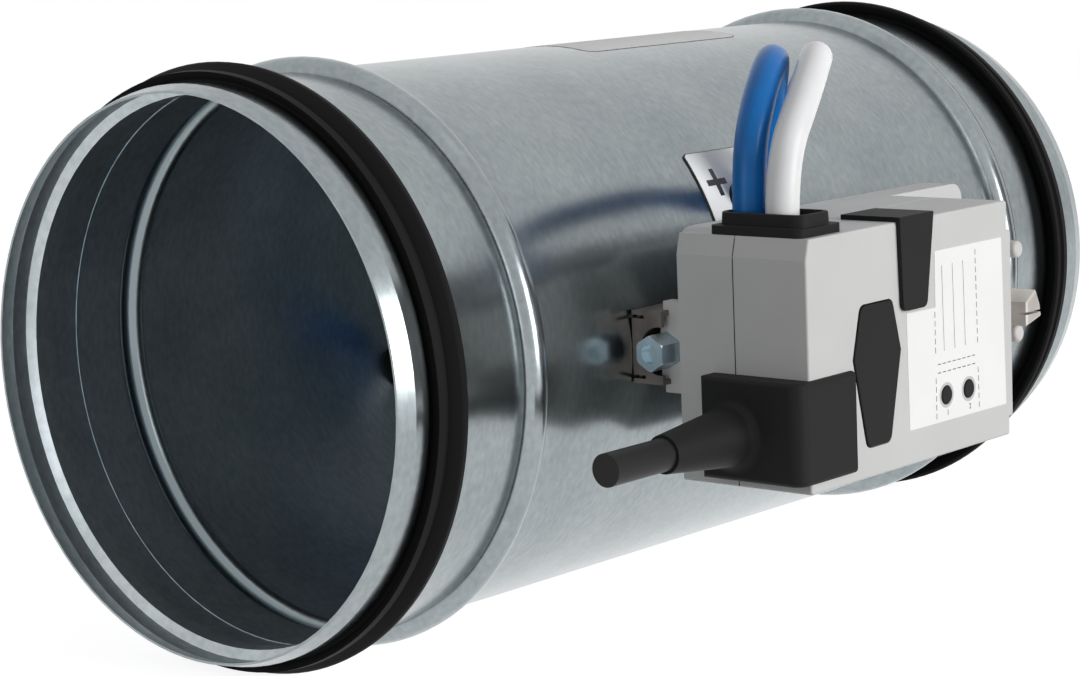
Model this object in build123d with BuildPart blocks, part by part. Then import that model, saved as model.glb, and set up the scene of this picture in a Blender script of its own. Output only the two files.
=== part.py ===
from build123d import *
import math
import os

# Variable air volume damper for a round 160 mm duct, millimetres, +Z up.
# X runs along the duct with the air, from the crease where the inlet's lead-in ends.
# The actuator stands on the -Y side, on the axis of the blade's shaft.

# Duct casing
duct_r = 79.6
sheet = 0.7
body_len = 324.5
lip_len = 5.2
lip_drop = 1.5
groove_x = 4.8
groove_w = 8.7
groove_depth = 2.6
groove_ramp = 1.6
groove_far_in = 5.0
bead_x = 44.8
bead_half = 4.4
bead_h = 4.1

# Double-lip gaskets
gasket_h = 4.9
lip_t = 1.0
gasket_core_h = 1.6
gasket_side_gap = 0.3

# Blade and shaft
shaft_x = 203.8
shaft_r = 6.0
shaft_far_out = 6.4
shaft_end_in = 15.3
blade_plate_t = 0.8
blade_plate_in = 2.5
blade_core_t = 2.4
blade_wall_gap = 0.3
channel_t = 1.0
channel_in = 8.9
shaft_fit = 0.05
rivet_in = 10.4
rivet_count = 8
rivet_r = 1.6
rivet_head_r = 3.2
rivet_head_t = 1.0
blade_bolt_y = 30.0
blade_bolt_r = 2.5
blade_bolt_head_r = 4.4
blade_bolt_head_t = 3.0
blade_nut_af = 8.0

# Bushes in the duct wall
bush_sleeve_r = 9.0
bush_flange_r = 13.5
bush_flange_t = 3.4
bush_in = 6.0
bush_clear = 0.6
hole_fit = 0.05

# Measuring probe across the duct, upstream of the blade and under its open plane
tube_r = 2.5
plus_front_x = 143.8
plus_front_z = -7.2
plus_rear_x = 155.8
plus_rear_z = -15.6
plus_far_in = 32.9
minus_x = 155.8
minus_z = -26.0
probe_clip_in = 5.0
probe_clip_t = 3.0
probe_clip_wall = 2.0
sense_hole_r = 0.8
sense_hole_count = 6
sense_hole_pitch = 14.0
grommet_r = 7.4
grommet_neck_r = 5.0
grommet_t = 1.6
u_hose_reach = 22.0
u_hose_sag = 0.6
plug_wall = 1.2
plug_len = 4.0
elbow_wall = 1.6
elbow_len = 6.0
elbow_port_h = 7.0
elbow_in = 14.9
tee_in = 10.3

# Pressure taps in the near wall
tap_angle = 26.0
tap_plus_x = 149.8
tap_minus_x = 161.3
tap_neck_r = 4.5
tap_flange_r = 5.6
tap_flange_t = 1.4
tap_stem_r = 3.4
tap_stem_in = 4.5
tap_stem_back = 4.0
tap_drop = 8.0
tap_nipple_len = 5.0
tap_nipple_r = 4.0
inner_hose_r = 3.0

# Sensor hoses outside: places along each route, from its foot and then from its far end
hose_r = 4.2
blue_route = ((0, 0, 0), (-0.5, 0, 15.5), (7.6, 2.5, 31), (24.8, 9.2, 41.4), (39.4, 17.2, 35))
blue_last = (-3.4, -13.9, 23.7)
blue_run = 9.0
white_route = ((0, 0, 0), (0, 0, 15.5), (13, 3.5, 31), (34.2, 12, 41.2), (50, 22, 35.4))
white_last = (-2.8, -17.4, 22.9)
white_run = 10.0

# Actuator housing, measured outwards from the duct
housing_gap = 5.4
base_depth = 11.7
mid_depth = 18.6
cover_depth = 24.0
housing_half = 33.9
base_half = 33.2
front_len = 98.4
front_to_shaft = 19.0
rear_end = 24.0
rear_behind_fork = 10.9
wall = 2.2
base_wall = 2.0
end_bevel = 1.5
end_bevel_h = 5.6
seam_groove = 0.3
edge_round = 1.0
end_strip_t = 2.2
end_strip_top = 25.3
end_strip_low = -29.0
end_strip_in = 0.5
end_strip_w = 16.0

# Gear train in the housing
module = 0.8
hub_teeth = 52
pinion_teeth = 12
wheel_teeth = 36
gear_t = 3.6
wheel_t = 1.9
layer_gap = 0.6
hub_r = 9.0
hub_collar_r = 13.0
journal_r = 1.5
motor_r = 12.0
motor_len = 20.0
gear_plate_t = 1.5
gear_plate_len = 42.0
gear_plate_half = 28.0

# Shaft clamp in front of the hub
ring_t = 2.2
ring_r = 15.0
lug_r = 2.6
lug_x = 20.6
lug_z = (14.0, -11.6)
lug_len = 21.0
clamp_gap = 1.2
clamp_len = 17.0
clamp_half = 9.5
clamp_back = 11.0
clamp_front = 14.5
nose = ((16.2, -8.4), (16.2, -1.2), (21.7, 1.9), (23.8, -2.5), (24.5, -6.3))
nose_front_in = 15.3
nose_len = 14.0
nose_root = 6.0
nose_slot_z = -4.6
nose_slot_in = 2.6
yoke_split = 1.2
nose_slot = 0.8

# Release button, small push buttons, label, service cover
release_x = 31.6
release_top_z = 13.3
release_low_z = -25.4
release_wide_z = -0.8
release_top_w = 14.8
release_mid_w = 22.4
release_low_w = 11.0
release_corner = 2.6
release_proud = 0.4
release_travel = 2.5
button_fit = 0.35
button_flange = 1.4
release_stem_r = 3.0
release_stem_z = -6.0
release_stem_len = 14.0
push_r = 2.6
push_z = -17.1
push_x = (65.1, 76.5)
push_proud = 0.5
push_travel = 0.6
switch_side = 6.0
switch_t = 1.6
cover_x = (41.9, 58.5)
cover_low_x = (43.0, 54.5)
cover_low_z = 9.4
cover_corner = 2.2
cover_t = 1.4
cover_back = 18.0

# Hose gland on the housing's top
gland_x = 11.2
gland_in = 17.7
gland_lx = 19.2
gland_ly = 30.6
gland_flange_t = 2.4
gland_top = 5.8
gland_collar_in = (2.0, 1.2)
gland_rim = 1.3
gland_recess = 1.6
blue_foot = (11.3, 26.1)
white_foot = (11.3, 15.3)

# Connector boot, strain relief and cable stub
boot_left = 6.8
boot_right = 18.8
boot_front = 1.8
boot_back_in = 11.5
boot_top_z = -3.2
boot_low_z = -30.8
boot_corner = 4.0
boot_edge = 1.4
relief_in = 21.3
relief_z = -18.6
relief_base_r = 8.3
relief_end_r = 5.2
relief_len = 28.6
relief_blend = 2.5
cable_r = 4.4
cable_len = 23.4

# Console bracket with the torque stud at the housing's left end
console_in = 0.8
console_len = 64.0
console_t = 1.2
console_z = 1.75
console_half = 10.15
console_side = 9.0
console_gap = 0.1
console_notch = 4.2
stud_af = 8.8
stud_face_r = 4.75
stud_proud = 3.8
stud_out = 4.1
stud_z = 0.9
seat_r = 6.7
fork_behind = 3.4
fork_web = 4.0
fork_inner = 2.1
fork_step_gap = 1.3
fork_gap = 0.1
fork_clip = 2.4
fork_clip_in = 1.8

# Shared small gap between laid-on pieces
lay_gap = 0.02

# Control electronics
board_t = 1.6
board_gap = 4.6
post_r = 2.0
sensor_lx = 21.0
sensor_ly = 25.0
sensor_h = 18.0
sensor_down = 9.0
sensor_port_r = 2.6
sensor_port_len = 8.0
sensor_port_in = 5.0

# Derived places
groove_r = duct_r - groove_depth
inner_r = duct_r - sheet
y_back = -(duct_r + housing_gap)
y_step = y_back - base_depth
y_seam = y_step - mid_depth
y_face = y_seam - cover_depth
front_x1 = shaft_x - front_to_shaft
front_x0 = front_x1 - front_len
rear_x1 = shaft_x + rear_end
blade_half = blade_core_t / 2 + blade_plate_t
blade_plate_r = inner_r - blade_plate_in
rivet_circle_r = blade_plate_r - rivet_in
channel_half = inner_r - channel_in
plus_far_y = inner_r - plus_far_in
probe_clip_y = plus_far_y - probe_clip_in
elbow_y = elbow_in - inner_r
tee_y = tee_in - inner_r
gland_y = y_face + gland_in
relief_y = y_face + relief_in
console_x = front_x0 + console_in
stud_x = front_x0 - stud_proud
stud_y = y_back - stud_out
fork_x = console_x + fork_behind
rear_x0 = fork_x + rear_behind_fork
rear_len = rear_x1 - rear_x0
fork_inner_y = stud_y + fork_inner
fork_outer_y = y_step + fork_step_gap
channel_r = shaft_r + shaft_fit + channel_t
across = Plane.XZ

os.makedirs("parts", exist_ok=True)
finished = {}


def keep(name, builder):
    """Label a finished piece and write it as its own STEP file."""
    builder.part.label = name
    finished[name] = builder.part
    export_step(builder.part, "parts/" + name + ".step")


def at_y(y):
    """Sketch plane across the duct's side at one Y, its normal pointing to the actuator."""
    return across.offset(-y)


def sheet_edge(drop):
    """Both ends of one face of the rolled sheet; drop is how far it lies under the outside."""
    for near in (True, False):
        def at(x, r):
            return (x if near else body_len - x, r - drop)

        groove = groove_x if near else groove_x + groove_far_in

        Polyline(
            at(-lip_len, duct_r - lip_drop),
            at(0, duct_r),
            at(groove, duct_r),
            at(groove + groove_ramp, groove_r),
            at(groove + groove_w - groove_ramp, groove_r),
            at(groove + groove_w, duct_r),
            at(bead_x - bead_half, duct_r),
        )
        ThreePointArc(
            at(bead_x - bead_half, duct_r),
            at(bead_x, duct_r + bead_h),
            at(bead_x + bead_half, duct_r),
        )
    Line((bead_x + bead_half, duct_r - drop), (body_len - bead_x - bead_half, duct_r - drop))


def wall_point(x, angle, r):
    """Point at radius r, angle degrees above the actuator's side."""
    a = math.radians(angle)
    return Vector(x, -r * math.cos(a), r * math.sin(a))


def fair_radii(points):
    """Largest arc at each corner that leaves both of its runs a straight part."""
    radii = []
    for before, here, after in zip(points, points[1:], points[2:]):
        turn = math.radians((here - before).get_angle(after - here))
        shorter = min((here - before).length, (after - here).length)
        radii.append(0.45 * shorter / math.tan(turn / 2))
    return radii


def hose_along(name, points, radius):
    """Solid hose along straight runs joined by tangent arcs."""
    radii = fair_radii(points)
    print(name, "bend radii", [round(r, 1) for r in radii])
    with BuildPart() as hose:
        with BuildLine() as route:
            FilletPolyline(*points, radius=radii)
        with BuildSketch(Plane(origin=points[0], z_dir=points[1] - points[0])):
            Circle(radius)
        sweep(path=route.wires()[0])
    length = route.wires()[0].length
    print(name, "length", round(length, 1), "volume ratio", round(hose.part.volume / (math.pi * radius**2 * length), 4))
    keep(name, hose)


def gear_points(teeth, centre_x, centre_z, turned):
    """Closed outline of a spur gear with straight flanks and some backlash."""
    pitch_r = module * teeth / 2
    tip_r = pitch_r + 0.8 * module
    root_r = pitch_r - 1.15 * module
    step = 2 * math.pi / teeth
    points = []
    for tooth in range(teeth):
        middle = tooth * step + math.radians(turned)
        for share, radius in ((-0.27, root_r), (-0.11, tip_r), (0.11, tip_r), (0.27, root_r)):
            a = middle + share * step
            points.append((centre_x + radius * math.cos(a), centre_z + radius * math.sin(a)))
    return points


# Duct casing: one rolled sheet with lead-in lips, gasket grooves and stop beads
with BuildPart() as duct:
    with BuildSketch(Plane.XZ):
        with BuildLine():
            for drop in (0, sheet):
                sheet_edge(drop)
            for x in (-lip_len, body_len + lip_len):
                Line((x, duct_r - lip_drop), (x, duct_r - lip_drop - sheet))
        make_face()
    revolve(axis=Axis.X)
    with Locations((shaft_x, 0, 0)):
        Cylinder(bush_sleeve_r + hole_fit, 3 * duct_r, rotation=(90, 0, 0), mode=Mode.SUBTRACT)
    with Locations((minus_x, 0, minus_z)):
        Cylinder(grommet_neck_r + hole_fit, 3 * duct_r, rotation=(90, 0, 0), mode=Mode.SUBTRACT)
    for x in (tap_plus_x, tap_minus_x):
        with BuildSketch(Plane(origin=wall_point(x, tap_angle, duct_r / 2), z_dir=wall_point(0, tap_angle, 1))):
            Circle(tap_neck_r + hole_fit)
        extrude(amount=duct_r, mode=Mode.SUBTRACT)
keep("duct_casing", duct)

# Gaskets: a core that fills the groove, a low front lip and a tall rear lip
for name, flip in (("gasket_inlet", False), ("gasket_outlet", True)):
    with BuildPart() as gasket:
        low = groove_r + lay_gap
        x0 = groove_x + groove_ramp + gasket_side_gap
        x1 = groove_x + groove_w - groove_ramp - gasket_side_gap
        core = duct_r + gasket_core_h
        with BuildSketch(Plane.XZ):
            with BuildLine():
                Polyline(
                    (x0, low),
                    (x0, core - lip_t),
                    (x0 - 1.2 * lip_t, core + gasket_h * 0.25),
                    (x0 + lip_t, core + gasket_h * 0.3),
                    (x0 + 2 * lip_t, core),
                    (x1 - 1.4 * lip_t, core),
                    (x1 + 0.8 * lip_t, duct_r + gasket_h - 0.4 * lip_t),
                    (x1 + 1.4 * lip_t, duct_r + gasket_h),
                    (x1 + 2.8 * lip_t, duct_r + gasket_h - 0.2 * lip_t),
                    (x1 + 3.1 * lip_t, duct_r + gasket_h - lip_t),
                    (x1 + 1.8 * lip_t, core + lip_t),
                    (x1, core - lip_t),
                    (x1, low),
                    close=True,
                )
            make_face()
            if flip:
                mirror(about=Plane.YZ.offset((body_len - groove_far_in) / 2), mode=Mode.REPLACE)
        revolve(axis=Axis.X)
    keep(name, gasket)

# Blade plates: flat discs with a half-round channel that grips the shaft
for name, side in (("blade_plate_upstream", -1), ("blade_plate_downstream", 1)):
    with BuildPart() as plate:
        with BuildSketch(Plane.YZ.offset(shaft_x + side * (blade_core_t / 2 + blade_plate_t / 2))):
            Circle(blade_plate_r)
        extrude(amount=blade_plate_t / 2, both=True)
        with BuildSketch(at_y(channel_half)):
            with Locations((shaft_x, 0)):
                Circle(channel_r)
            with Locations((shaft_x + side * (blade_core_t / 2 - duct_r), 0)):
                Rectangle(2 * duct_r, 2 * duct_r, mode=Mode.SUBTRACT)
        extrude(amount=2 * channel_half)
        with Locations((shaft_x, 0, 0)):
            Cylinder(shaft_r + shaft_fit, 3 * duct_r, rotation=(90, 0, 0), mode=Mode.SUBTRACT)
        for end in (-1, 1):
            with Locations((shaft_x, end * (inner_r - bush_in + duct_r / 2 - bush_clear), 0)):
                Cylinder(bush_sleeve_r + bush_clear, duct_r, rotation=(90, 0, 0), mode=Mode.SUBTRACT)
        with BuildSketch(Plane.YZ.offset(shaft_x - 2 * shaft_r)):
            with PolarLocations(rivet_circle_r, rivet_count, start_angle=180 / rivet_count):
                Circle(rivet_r + hole_fit)
            with Locations((-blade_bolt_y, 0), (blade_bolt_y, 0)):
                Circle(blade_bolt_r + hole_fit)
        extrude(amount=4 * shaft_r, mode=Mode.SUBTRACT)
    keep(name, plate)

# Rubber core between the plates, standing out as the seal all round
with BuildPart() as core_seal:
    with BuildSketch(Plane.YZ.offset(shaft_x)):
        Circle(inner_r - blade_wall_gap)
        with PolarLocations(rivet_circle_r, rivet_count, start_angle=180 / rivet_count):
            Circle(rivet_r + hole_fit, mode=Mode.SUBTRACT)
    extrude(amount=blade_core_t / 2, both=True)
    with Locations((shaft_x, 0, 0)):
        Cylinder(channel_r + hole_fit, 3 * duct_r, rotation=(90, 0, 0), mode=Mode.SUBTRACT)
    for end in (-1, 1):
        with Locations((shaft_x, end * (inner_r - bush_in + duct_r / 2 - bush_clear), 0)):
            Cylinder(bush_sleeve_r + bush_clear, duct_r, rotation=(90, 0, 0), mode=Mode.SUBTRACT)
keep("blade_seal", core_seal)

with BuildPart() as rivets:
    with BuildSketch(Plane.YZ.offset(shaft_x)):
        with PolarLocations(rivet_circle_r, rivet_count, start_angle=180 / rivet_count):
            Circle(rivet_r)
    extrude(amount=blade_half + rivet_head_t / 2, both=True)
    for side in (-1, 1):
        with BuildSketch(Plane.YZ.offset(shaft_x + side * (blade_half + rivet_head_t / 2))):
            with PolarLocations(rivet_circle_r, rivet_count, start_angle=180 / rivet_count):
                Circle(rivet_head_r)
        extrude(amount=rivet_head_t / 2, both=True)
keep("blade_rivets", rivets)

# Shaft from outside the far wall to the clamp, cross-drilled for the blade's bolts
shaft_far_y = duct_r + shaft_far_out
shaft_near_y = y_face + shaft_end_in
with BuildPart() as shaft:
    with BuildSketch(at_y(shaft_far_y)):
        with Locations((shaft_x, 0)):
            Circle(shaft_r)
    extrude(amount=shaft_far_y - shaft_near_y)
    chamfer(shaft.edges().filter_by(GeomType.CIRCLE), 0.8)
    with BuildSketch(Plane.YZ.offset(shaft_x - shaft_r)):
        with Locations((-blade_bolt_y, 0), (blade_bolt_y, 0)):
            Circle(blade_bolt_r + hole_fit)
    extrude(amount=2 * shaft_r, mode=Mode.SUBTRACT)
keep("shaft", shaft)

with BuildPart() as bolts:
    with BuildSketch(Plane.YZ.offset(shaft_x - channel_r)):
        with Locations((-blade_bolt_y, 0), (blade_bolt_y, 0)):
            Circle(blade_bolt_r)
    extrude(amount=2 * channel_r + blade_bolt_head_t + 1.5)
    with BuildSketch(Plane.YZ.offset(shaft_x - channel_r - blade_bolt_head_t)):
        with Locations((-blade_bolt_y, 0), (blade_bolt_y, 0)):
            Circle(blade_bolt_head_r)
    extrude(amount=blade_bolt_head_t, taper=-12)
keep("blade_bolts", bolts)

with BuildPart() as nuts:
    with BuildSketch(Plane.YZ.offset(shaft_x + channel_r)):
        with Locations((-blade_bolt_y, 0), (blade_bolt_y, 0)):
            RegularPolygon(blade_nut_af / 2, 6, major_radius=False)
            Circle(blade_bolt_r + hole_fit, mode=Mode.SUBTRACT)
    extrude(amount=blade_bolt_head_t + 1)
keep("blade_nuts", nuts)

# Bushes: a saddle flange on the outside of the wall and a sleeve through it
with BuildPart() as bush:
    with BuildSketch(at_y(-(duct_r * 0.9))):
        with Locations((shaft_x, 0)):
            Circle(bush_flange_r)
    extrude(amount=duct_r * 0.1 + bush_flange_t)
    fillet(bush.edges().group_by(Axis.Y)[0], 1.0)
    Cylinder(duct_r + lay_gap, 6 * duct_r, rotation=(0, 90, 0), mode=Mode.SUBTRACT)
    with BuildSketch(at_y(-(inner_r - bush_in))):
        with Locations((shaft_x, 0)):
            Circle(bush_sleeve_r)
    extrude(amount=bush_in + sheet + 1)
    with Locations((shaft_x, 0, 0)):
        Cylinder(shaft_r + shaft_fit, 3 * duct_r, rotation=(90, 0, 0), mode=Mode.SUBTRACT)
keep("bush_near", bush)

with BuildPart() as bush_far:
    mirror(bush.part, about=Plane.XZ)
keep("bush_far", bush_far)

# Measuring tubes: a plus pair that faces the air, a minus tube behind it
sense_span = sense_hole_pitch * (sense_hole_count - 1)
minus_reach = math.sqrt(duct_r**2 - minus_z**2)
plus_near_y = -(probe_clip_y + 5)
for name, x, z, y0, y1, face in (
    ("probe_plus_front", plus_front_x, plus_front_z, elbow_y, plus_far_y, -1),
    ("probe_plus_rear", plus_rear_x, plus_rear_z, plus_near_y, plus_far_y, -1),
    ("probe_minus", minus_x, minus_z, -minus_reach, minus_reach, 1),
):
    with BuildPart() as tube:
        with BuildSketch(at_y(y1)):
            with Locations((x, z)):
                Circle(tube_r)
        extrude(amount=y1 - y0)
        with BuildSketch(Plane.YZ.offset(x)):
            for step in range(sense_hole_count):
                with Locations((-sense_span / 2 + step * sense_hole_pitch, z)):
                    Circle(sense_hole_r)
        extrude(amount=face * tube_r, mode=Mode.SUBTRACT)
    keep(name, tube)

# Grommets that carry the minus tube in both walls
for name, side in (("grommet_near", -1), ("grommet_far", 1)):
    with BuildPart() as grommet:
        with BuildSketch(at_y(side * (minus_reach - grommet_t * 2))):
            with Locations((minus_x, minus_z)):
                Circle(grommet_r)
        extrude(amount=-side * 4.5 * grommet_t)
        Cylinder(duct_r + grommet_t, 6 * duct_r, rotation=(0, 90, 0), mode=Mode.INTERSECT)
        with BuildPart(mode=Mode.PRIVATE) as ring:
            Cylinder(duct_r + lay_gap, 6 * duct_r, rotation=(0, 90, 0))
            Cylinder(inner_r - lay_gap, 6 * duct_r, rotation=(0, 90, 0), mode=Mode.SUBTRACT)
            with Locations((minus_x, 0, minus_z)):
                Cylinder(grommet_neck_r, 3 * duct_r, rotation=(90, 0, 0), mode=Mode.SUBTRACT)
        add(ring.part, mode=Mode.SUBTRACT)
        with Locations((minus_x, 0, minus_z)):
            Cylinder(tube_r + hole_fit, 2 * (minus_reach + 0.01), rotation=(90, 0, 0), mode=Mode.SUBTRACT)
    keep(name, grommet)


# Clips that tie the three tubes together, a plug, an elbow and a tee at the tubes' near ends
probe_tubes = ((plus_front_x, plus_front_z), (plus_rear_x, plus_rear_z), (minus_x, minus_z))
for name, y in (("probe_clip_near", -probe_clip_y), ("probe_clip_far", probe_clip_y)):
    with BuildPart() as clip:
        with BuildSketch(at_y(y + probe_clip_t / 2)):
            with Locations(*probe_tubes):
                Circle(tube_r + probe_clip_wall)
            make_hull()
            with Locations(*probe_tubes):
                Circle(tube_r + hole_fit, mode=Mode.SUBTRACT)
        extrude(amount=probe_clip_t)
    keep(name, clip)

with BuildPart() as plug:
    with BuildSketch(at_y(plus_near_y + plug_len - plug_wall)):
        with Locations((plus_rear_x, plus_rear_z)):
            Circle(tube_r + plug_wall)
    extrude(amount=plug_len)
    with BuildSketch(at_y(plus_near_y + plug_len)):
        with Locations((plus_rear_x, plus_rear_z)):
            Circle(tube_r + hole_fit)
    extrude(amount=plug_len, mode=Mode.SUBTRACT)
keep("probe_plug", plug)

inner_run = {}
for name, tap_x, x, y, z, through in (
    ("probe_elbow", tap_plus_x, plus_front_x, elbow_y, plus_front_z, 0),
    ("probe_tee", tap_minus_x, minus_x, tee_y, minus_z, 2 * elbow_len),
):
    centre = Vector(x, y, z)
    stem_end = wall_point(tap_x - tap_stem_back, tap_angle, inner_r - tap_stem_in)
    rise = (stem_end - centre).normalized()
    port = tube_r + elbow_wall + elbow_port_h
    inner_run[name] = (stem_end - rise * tap_drop, centre + rise * port, rise)
    with BuildPart() as elbow:
        with BuildSketch(at_y(y + elbow_len / 2)):
            with Locations((x, z)):
                Circle(tube_r + elbow_wall)
        extrude(amount=elbow_len)
        with BuildSketch(Plane(origin=centre, z_dir=rise)):
            Circle(inner_hose_r)
        extrude(amount=port)
        with BuildSketch(at_y(y + elbow_len)):
            with Locations((x, z)):
                Circle(tube_r + hole_fit)
        extrude(amount=elbow_len + through, mode=Mode.SUBTRACT)
    keep(name, elbow)

# Taps: a saddle flange outside, a nipple slanted towards its hose, and an elbow inside
tap_out = Vector(-0.2, -0.62, 0.76).normalized()
tap_foot = {}
for name, x, drop_dir in (
    ("tap_plus", tap_plus_x, inner_run["probe_elbow"][2]),
    ("tap_minus", tap_minus_x, inner_run["probe_tee"][2]),
):
    outward = wall_point(0, tap_angle, 1)
    stem_end = wall_point(x - tap_stem_back, tap_angle, inner_r - tap_stem_in)
    stem = wall_point(x, tap_angle, inner_r) - stem_end
    tap_foot[name] = wall_point(x, tap_angle, duct_r)
    with BuildPart() as tap:
        with BuildSketch(Plane(origin=wall_point(x, tap_angle, duct_r - 4), z_dir=outward)):
            Circle(tap_flange_r)
        extrude(amount=4 + tap_flange_t)
        with BuildSketch(Plane(origin=tap_foot[name], z_dir=tap_out)):
            Circle(tap_nipple_r)
        extrude(amount=tap_nipple_len)
        Cylinder(duct_r + lay_gap, 6 * duct_r, rotation=(0, 90, 0), mode=Mode.SUBTRACT)
        with BuildSketch(Plane(origin=wall_point(x, tap_angle, inner_r - 1), z_dir=outward)):
            Circle(tap_neck_r)
        extrude(amount=1.6 + sheet)
        with BuildSketch(Plane(origin=stem_end, z_dir=stem)):
            Circle(tap_stem_r)
        extrude(amount=stem.length)
        with BuildSketch(Plane(origin=stem_end + drop_dir * 1.5, z_dir=drop_dir * -1)):
            Circle(tap_stem_r)
        extrude(amount=tap_drop + 1.5)
    keep(name, tap)

# Hoses outside, from the gland over the housing to the taps
housing_top = housing_half
gland_z = housing_top + gland_top - gland_recess
blue_end = tap_foot["tap_plus"] + tap_out * tap_nipple_len
white_end = tap_foot["tap_minus"] + tap_out * tap_nipple_len
blue_root = Vector(front_x0 + blue_foot[0], y_face + blue_foot[1], gland_z)
white_root = Vector(front_x0 + white_foot[0], y_face + white_foot[1], gland_z)
for name, root, end, route, last, run in (
    ("hose_blue", blue_root, blue_end, blue_route, blue_last, blue_run),
    ("hose_white", white_root, white_end, white_route, white_last, white_run),
):
    points = [root + Vector(*step) for step in route]
    points.append(Vector(end.X + last[0], end.Y + last[1], gland_z + last[2]))
    hose_along(name, points + [end + tap_out * run, end], hose_r)

# Hoses inside, from the taps to the measuring tubes, and the bend that joins the plus pair
for name, fitting in (("inner_hose_plus", "probe_elbow"), ("inner_hose_minus", "probe_tee")):
    upper, lower, rise = inner_run[fitting]
    with BuildPart() as inner_hose:
        with BuildSketch(Plane(origin=lower, z_dir=rise)):
            Circle(inner_hose_r)
        extrude(amount=(upper - lower).length)
    keep(name, inner_hose)

bend_y = plus_far_y + u_hose_reach
straight_y = plus_far_y + u_hose_reach * 0.36
hose_along(
    "u_hose",
    [
        Vector(plus_front_x, plus_far_y, plus_front_z),
        Vector(plus_front_x, straight_y, plus_front_z),
        Vector(plus_front_x, bend_y, plus_front_z - u_hose_sag),
        Vector(plus_rear_x, bend_y, plus_rear_z - u_hose_sag),
        Vector(plus_rear_x, straight_y, plus_rear_z),
        Vector(plus_rear_x, plus_far_y, plus_rear_z),
    ],
    inner_hose_r,
)


# Gear case: a tray against the duct, its cover plate, and the hub's seats in both
mid_x = (front_x0 + front_x1) / 2
rear_mid = (rear_x0 + rear_x1) / 2
case_front = y_step + base_wall
with BuildPart() as case:
    with BuildSketch(at_y(y_back)):
        with Locations((rear_mid, 0)):
            RectangleRounded(rear_len, 2 * base_half, 5)
    extrude(amount=y_back - case_front)
    fillet(case.edges().group_by(Axis.Y)[-1], 1.2)
    with BuildSketch(at_y(y_back - base_wall)):
        with Locations((rear_mid, 0)):
            RectangleRounded(rear_len - 2 * base_wall, 2 * (base_half - base_wall), 3.4)
    extrude(amount=y_back - case_front, mode=Mode.SUBTRACT)
    with BuildSketch(at_y(y_back)):
        with Locations((shaft_x, 0)):
            Circle(hub_r + shaft_fit)
    extrude(amount=y_back - case_front, mode=Mode.SUBTRACT)
keep("gear_case", case)

wheel_x = shaft_x - module * (hub_teeth + pinion_teeth) / 2
motor_x = wheel_x - module * (wheel_teeth + pinion_teeth) / 2
gear_y = y_back - base_wall - layer_gap
wheel_y = gear_y - gear_t - layer_gap
with BuildPart() as case_cover:
    with BuildSketch(at_y(case_front)):
        with Locations((rear_mid, 0)):
            RectangleRounded(rear_len, 2 * base_half, 5)
        with Locations((shaft_x, 0)):
            Circle(hub_r + shaft_fit, mode=Mode.SUBTRACT)
        with Locations((motor_x, 0)):
            Circle(journal_r + 1.5, mode=Mode.SUBTRACT)
    extrude(amount=base_wall)
keep("gear_case_cover", case_cover)

# Output hub: gear, journal and the slotted bore that takes the shaft
hub_front = y_step - clamp_gap
with BuildPart() as hub:
    with BuildSketch(at_y(gear_y)):
        with BuildLine():
            Polyline(*gear_points(hub_teeth, shaft_x, 0, 180), close=True)
        make_face()
    extrude(amount=gear_t)
    with BuildSketch(at_y(y_back + 0.6)):
        with Locations((shaft_x, 0)):
            Circle(hub_r)
    extrude(amount=y_back + 0.6 - hub_front)
    with BuildSketch(at_y(hub_front)):
        with Locations((shaft_x, 0)):
            Circle(ring_r)
    extrude(amount=ring_t)
    with BuildSketch(at_y(hub_front)):
        for z in lug_z:
            with BuildLine():
                Polyline(
                    (shaft_x + 4, z * 1.13),
                    (shaft_x + lug_x, z * 1.13),
                    (shaft_x + lug_x, z * 0.87),
                    (shaft_x + 4, z * 0.3),
                    close=True,
                )
            make_face()
    extrude(amount=ring_t)
    with BuildSketch(at_y(hub_front)):
        with Locations(*((shaft_x + lug_x, z) for z in lug_z)):
            Circle(lug_r)
    extrude(amount=lug_len)
    fillet(hub.edges().filter_by(GeomType.CIRCLE).group_by(Axis.Y)[0], 1.2)
    with BuildSketch(at_y(y_back + 1)):
        with Locations((shaft_x, 0)):
            Circle(shaft_r + shaft_fit)
    extrude(amount=40, mode=Mode.SUBTRACT)
keep("output_hub", hub)

# Intermediate wheel with its pinion, and the steel arbor it turns on
wheel_turn = 180 + 180 / hub_teeth
with BuildPart() as wheel:
    with BuildSketch(at_y(wheel_y)):
        with BuildLine():
            Polyline(*gear_points(wheel_teeth, wheel_x, 0, 180), close=True)
        make_face()
    extrude(amount=wheel_t)
    with BuildSketch(at_y(gear_y)):
        with BuildLine():
            Polyline(*gear_points(pinion_teeth, wheel_x, 0, 180 / pinion_teeth), close=True)
        make_face()
    extrude(amount=gear_t + layer_gap)
    with BuildSketch(at_y(gear_y + 1)):
        with Locations((wheel_x, 0)):
            Circle(journal_r + shaft_fit)
    extrude(amount=20, mode=Mode.SUBTRACT)
keep("gear_wheel", wheel)

with BuildPart() as arbor:
    with BuildSketch(at_y(y_back - base_wall)):
        with Locations((wheel_x, 0)):
            Circle(journal_r)
    extrude(amount=y_back - base_wall - case_front)
keep("gear_arbor", arbor)


def end_wedge():
    """Thin wedge that bevels the upper part of the housing's left end."""
    Polygon(
        (front_x0, housing_half - end_bevel_h),
        (front_x0 - 1, housing_half - end_bevel_h),
        (front_x0 - 1, housing_half + 1),
        (front_x0 + end_bevel, housing_half + 1),
        (front_x0 + end_bevel, housing_half),
        align=None,
    )


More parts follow.
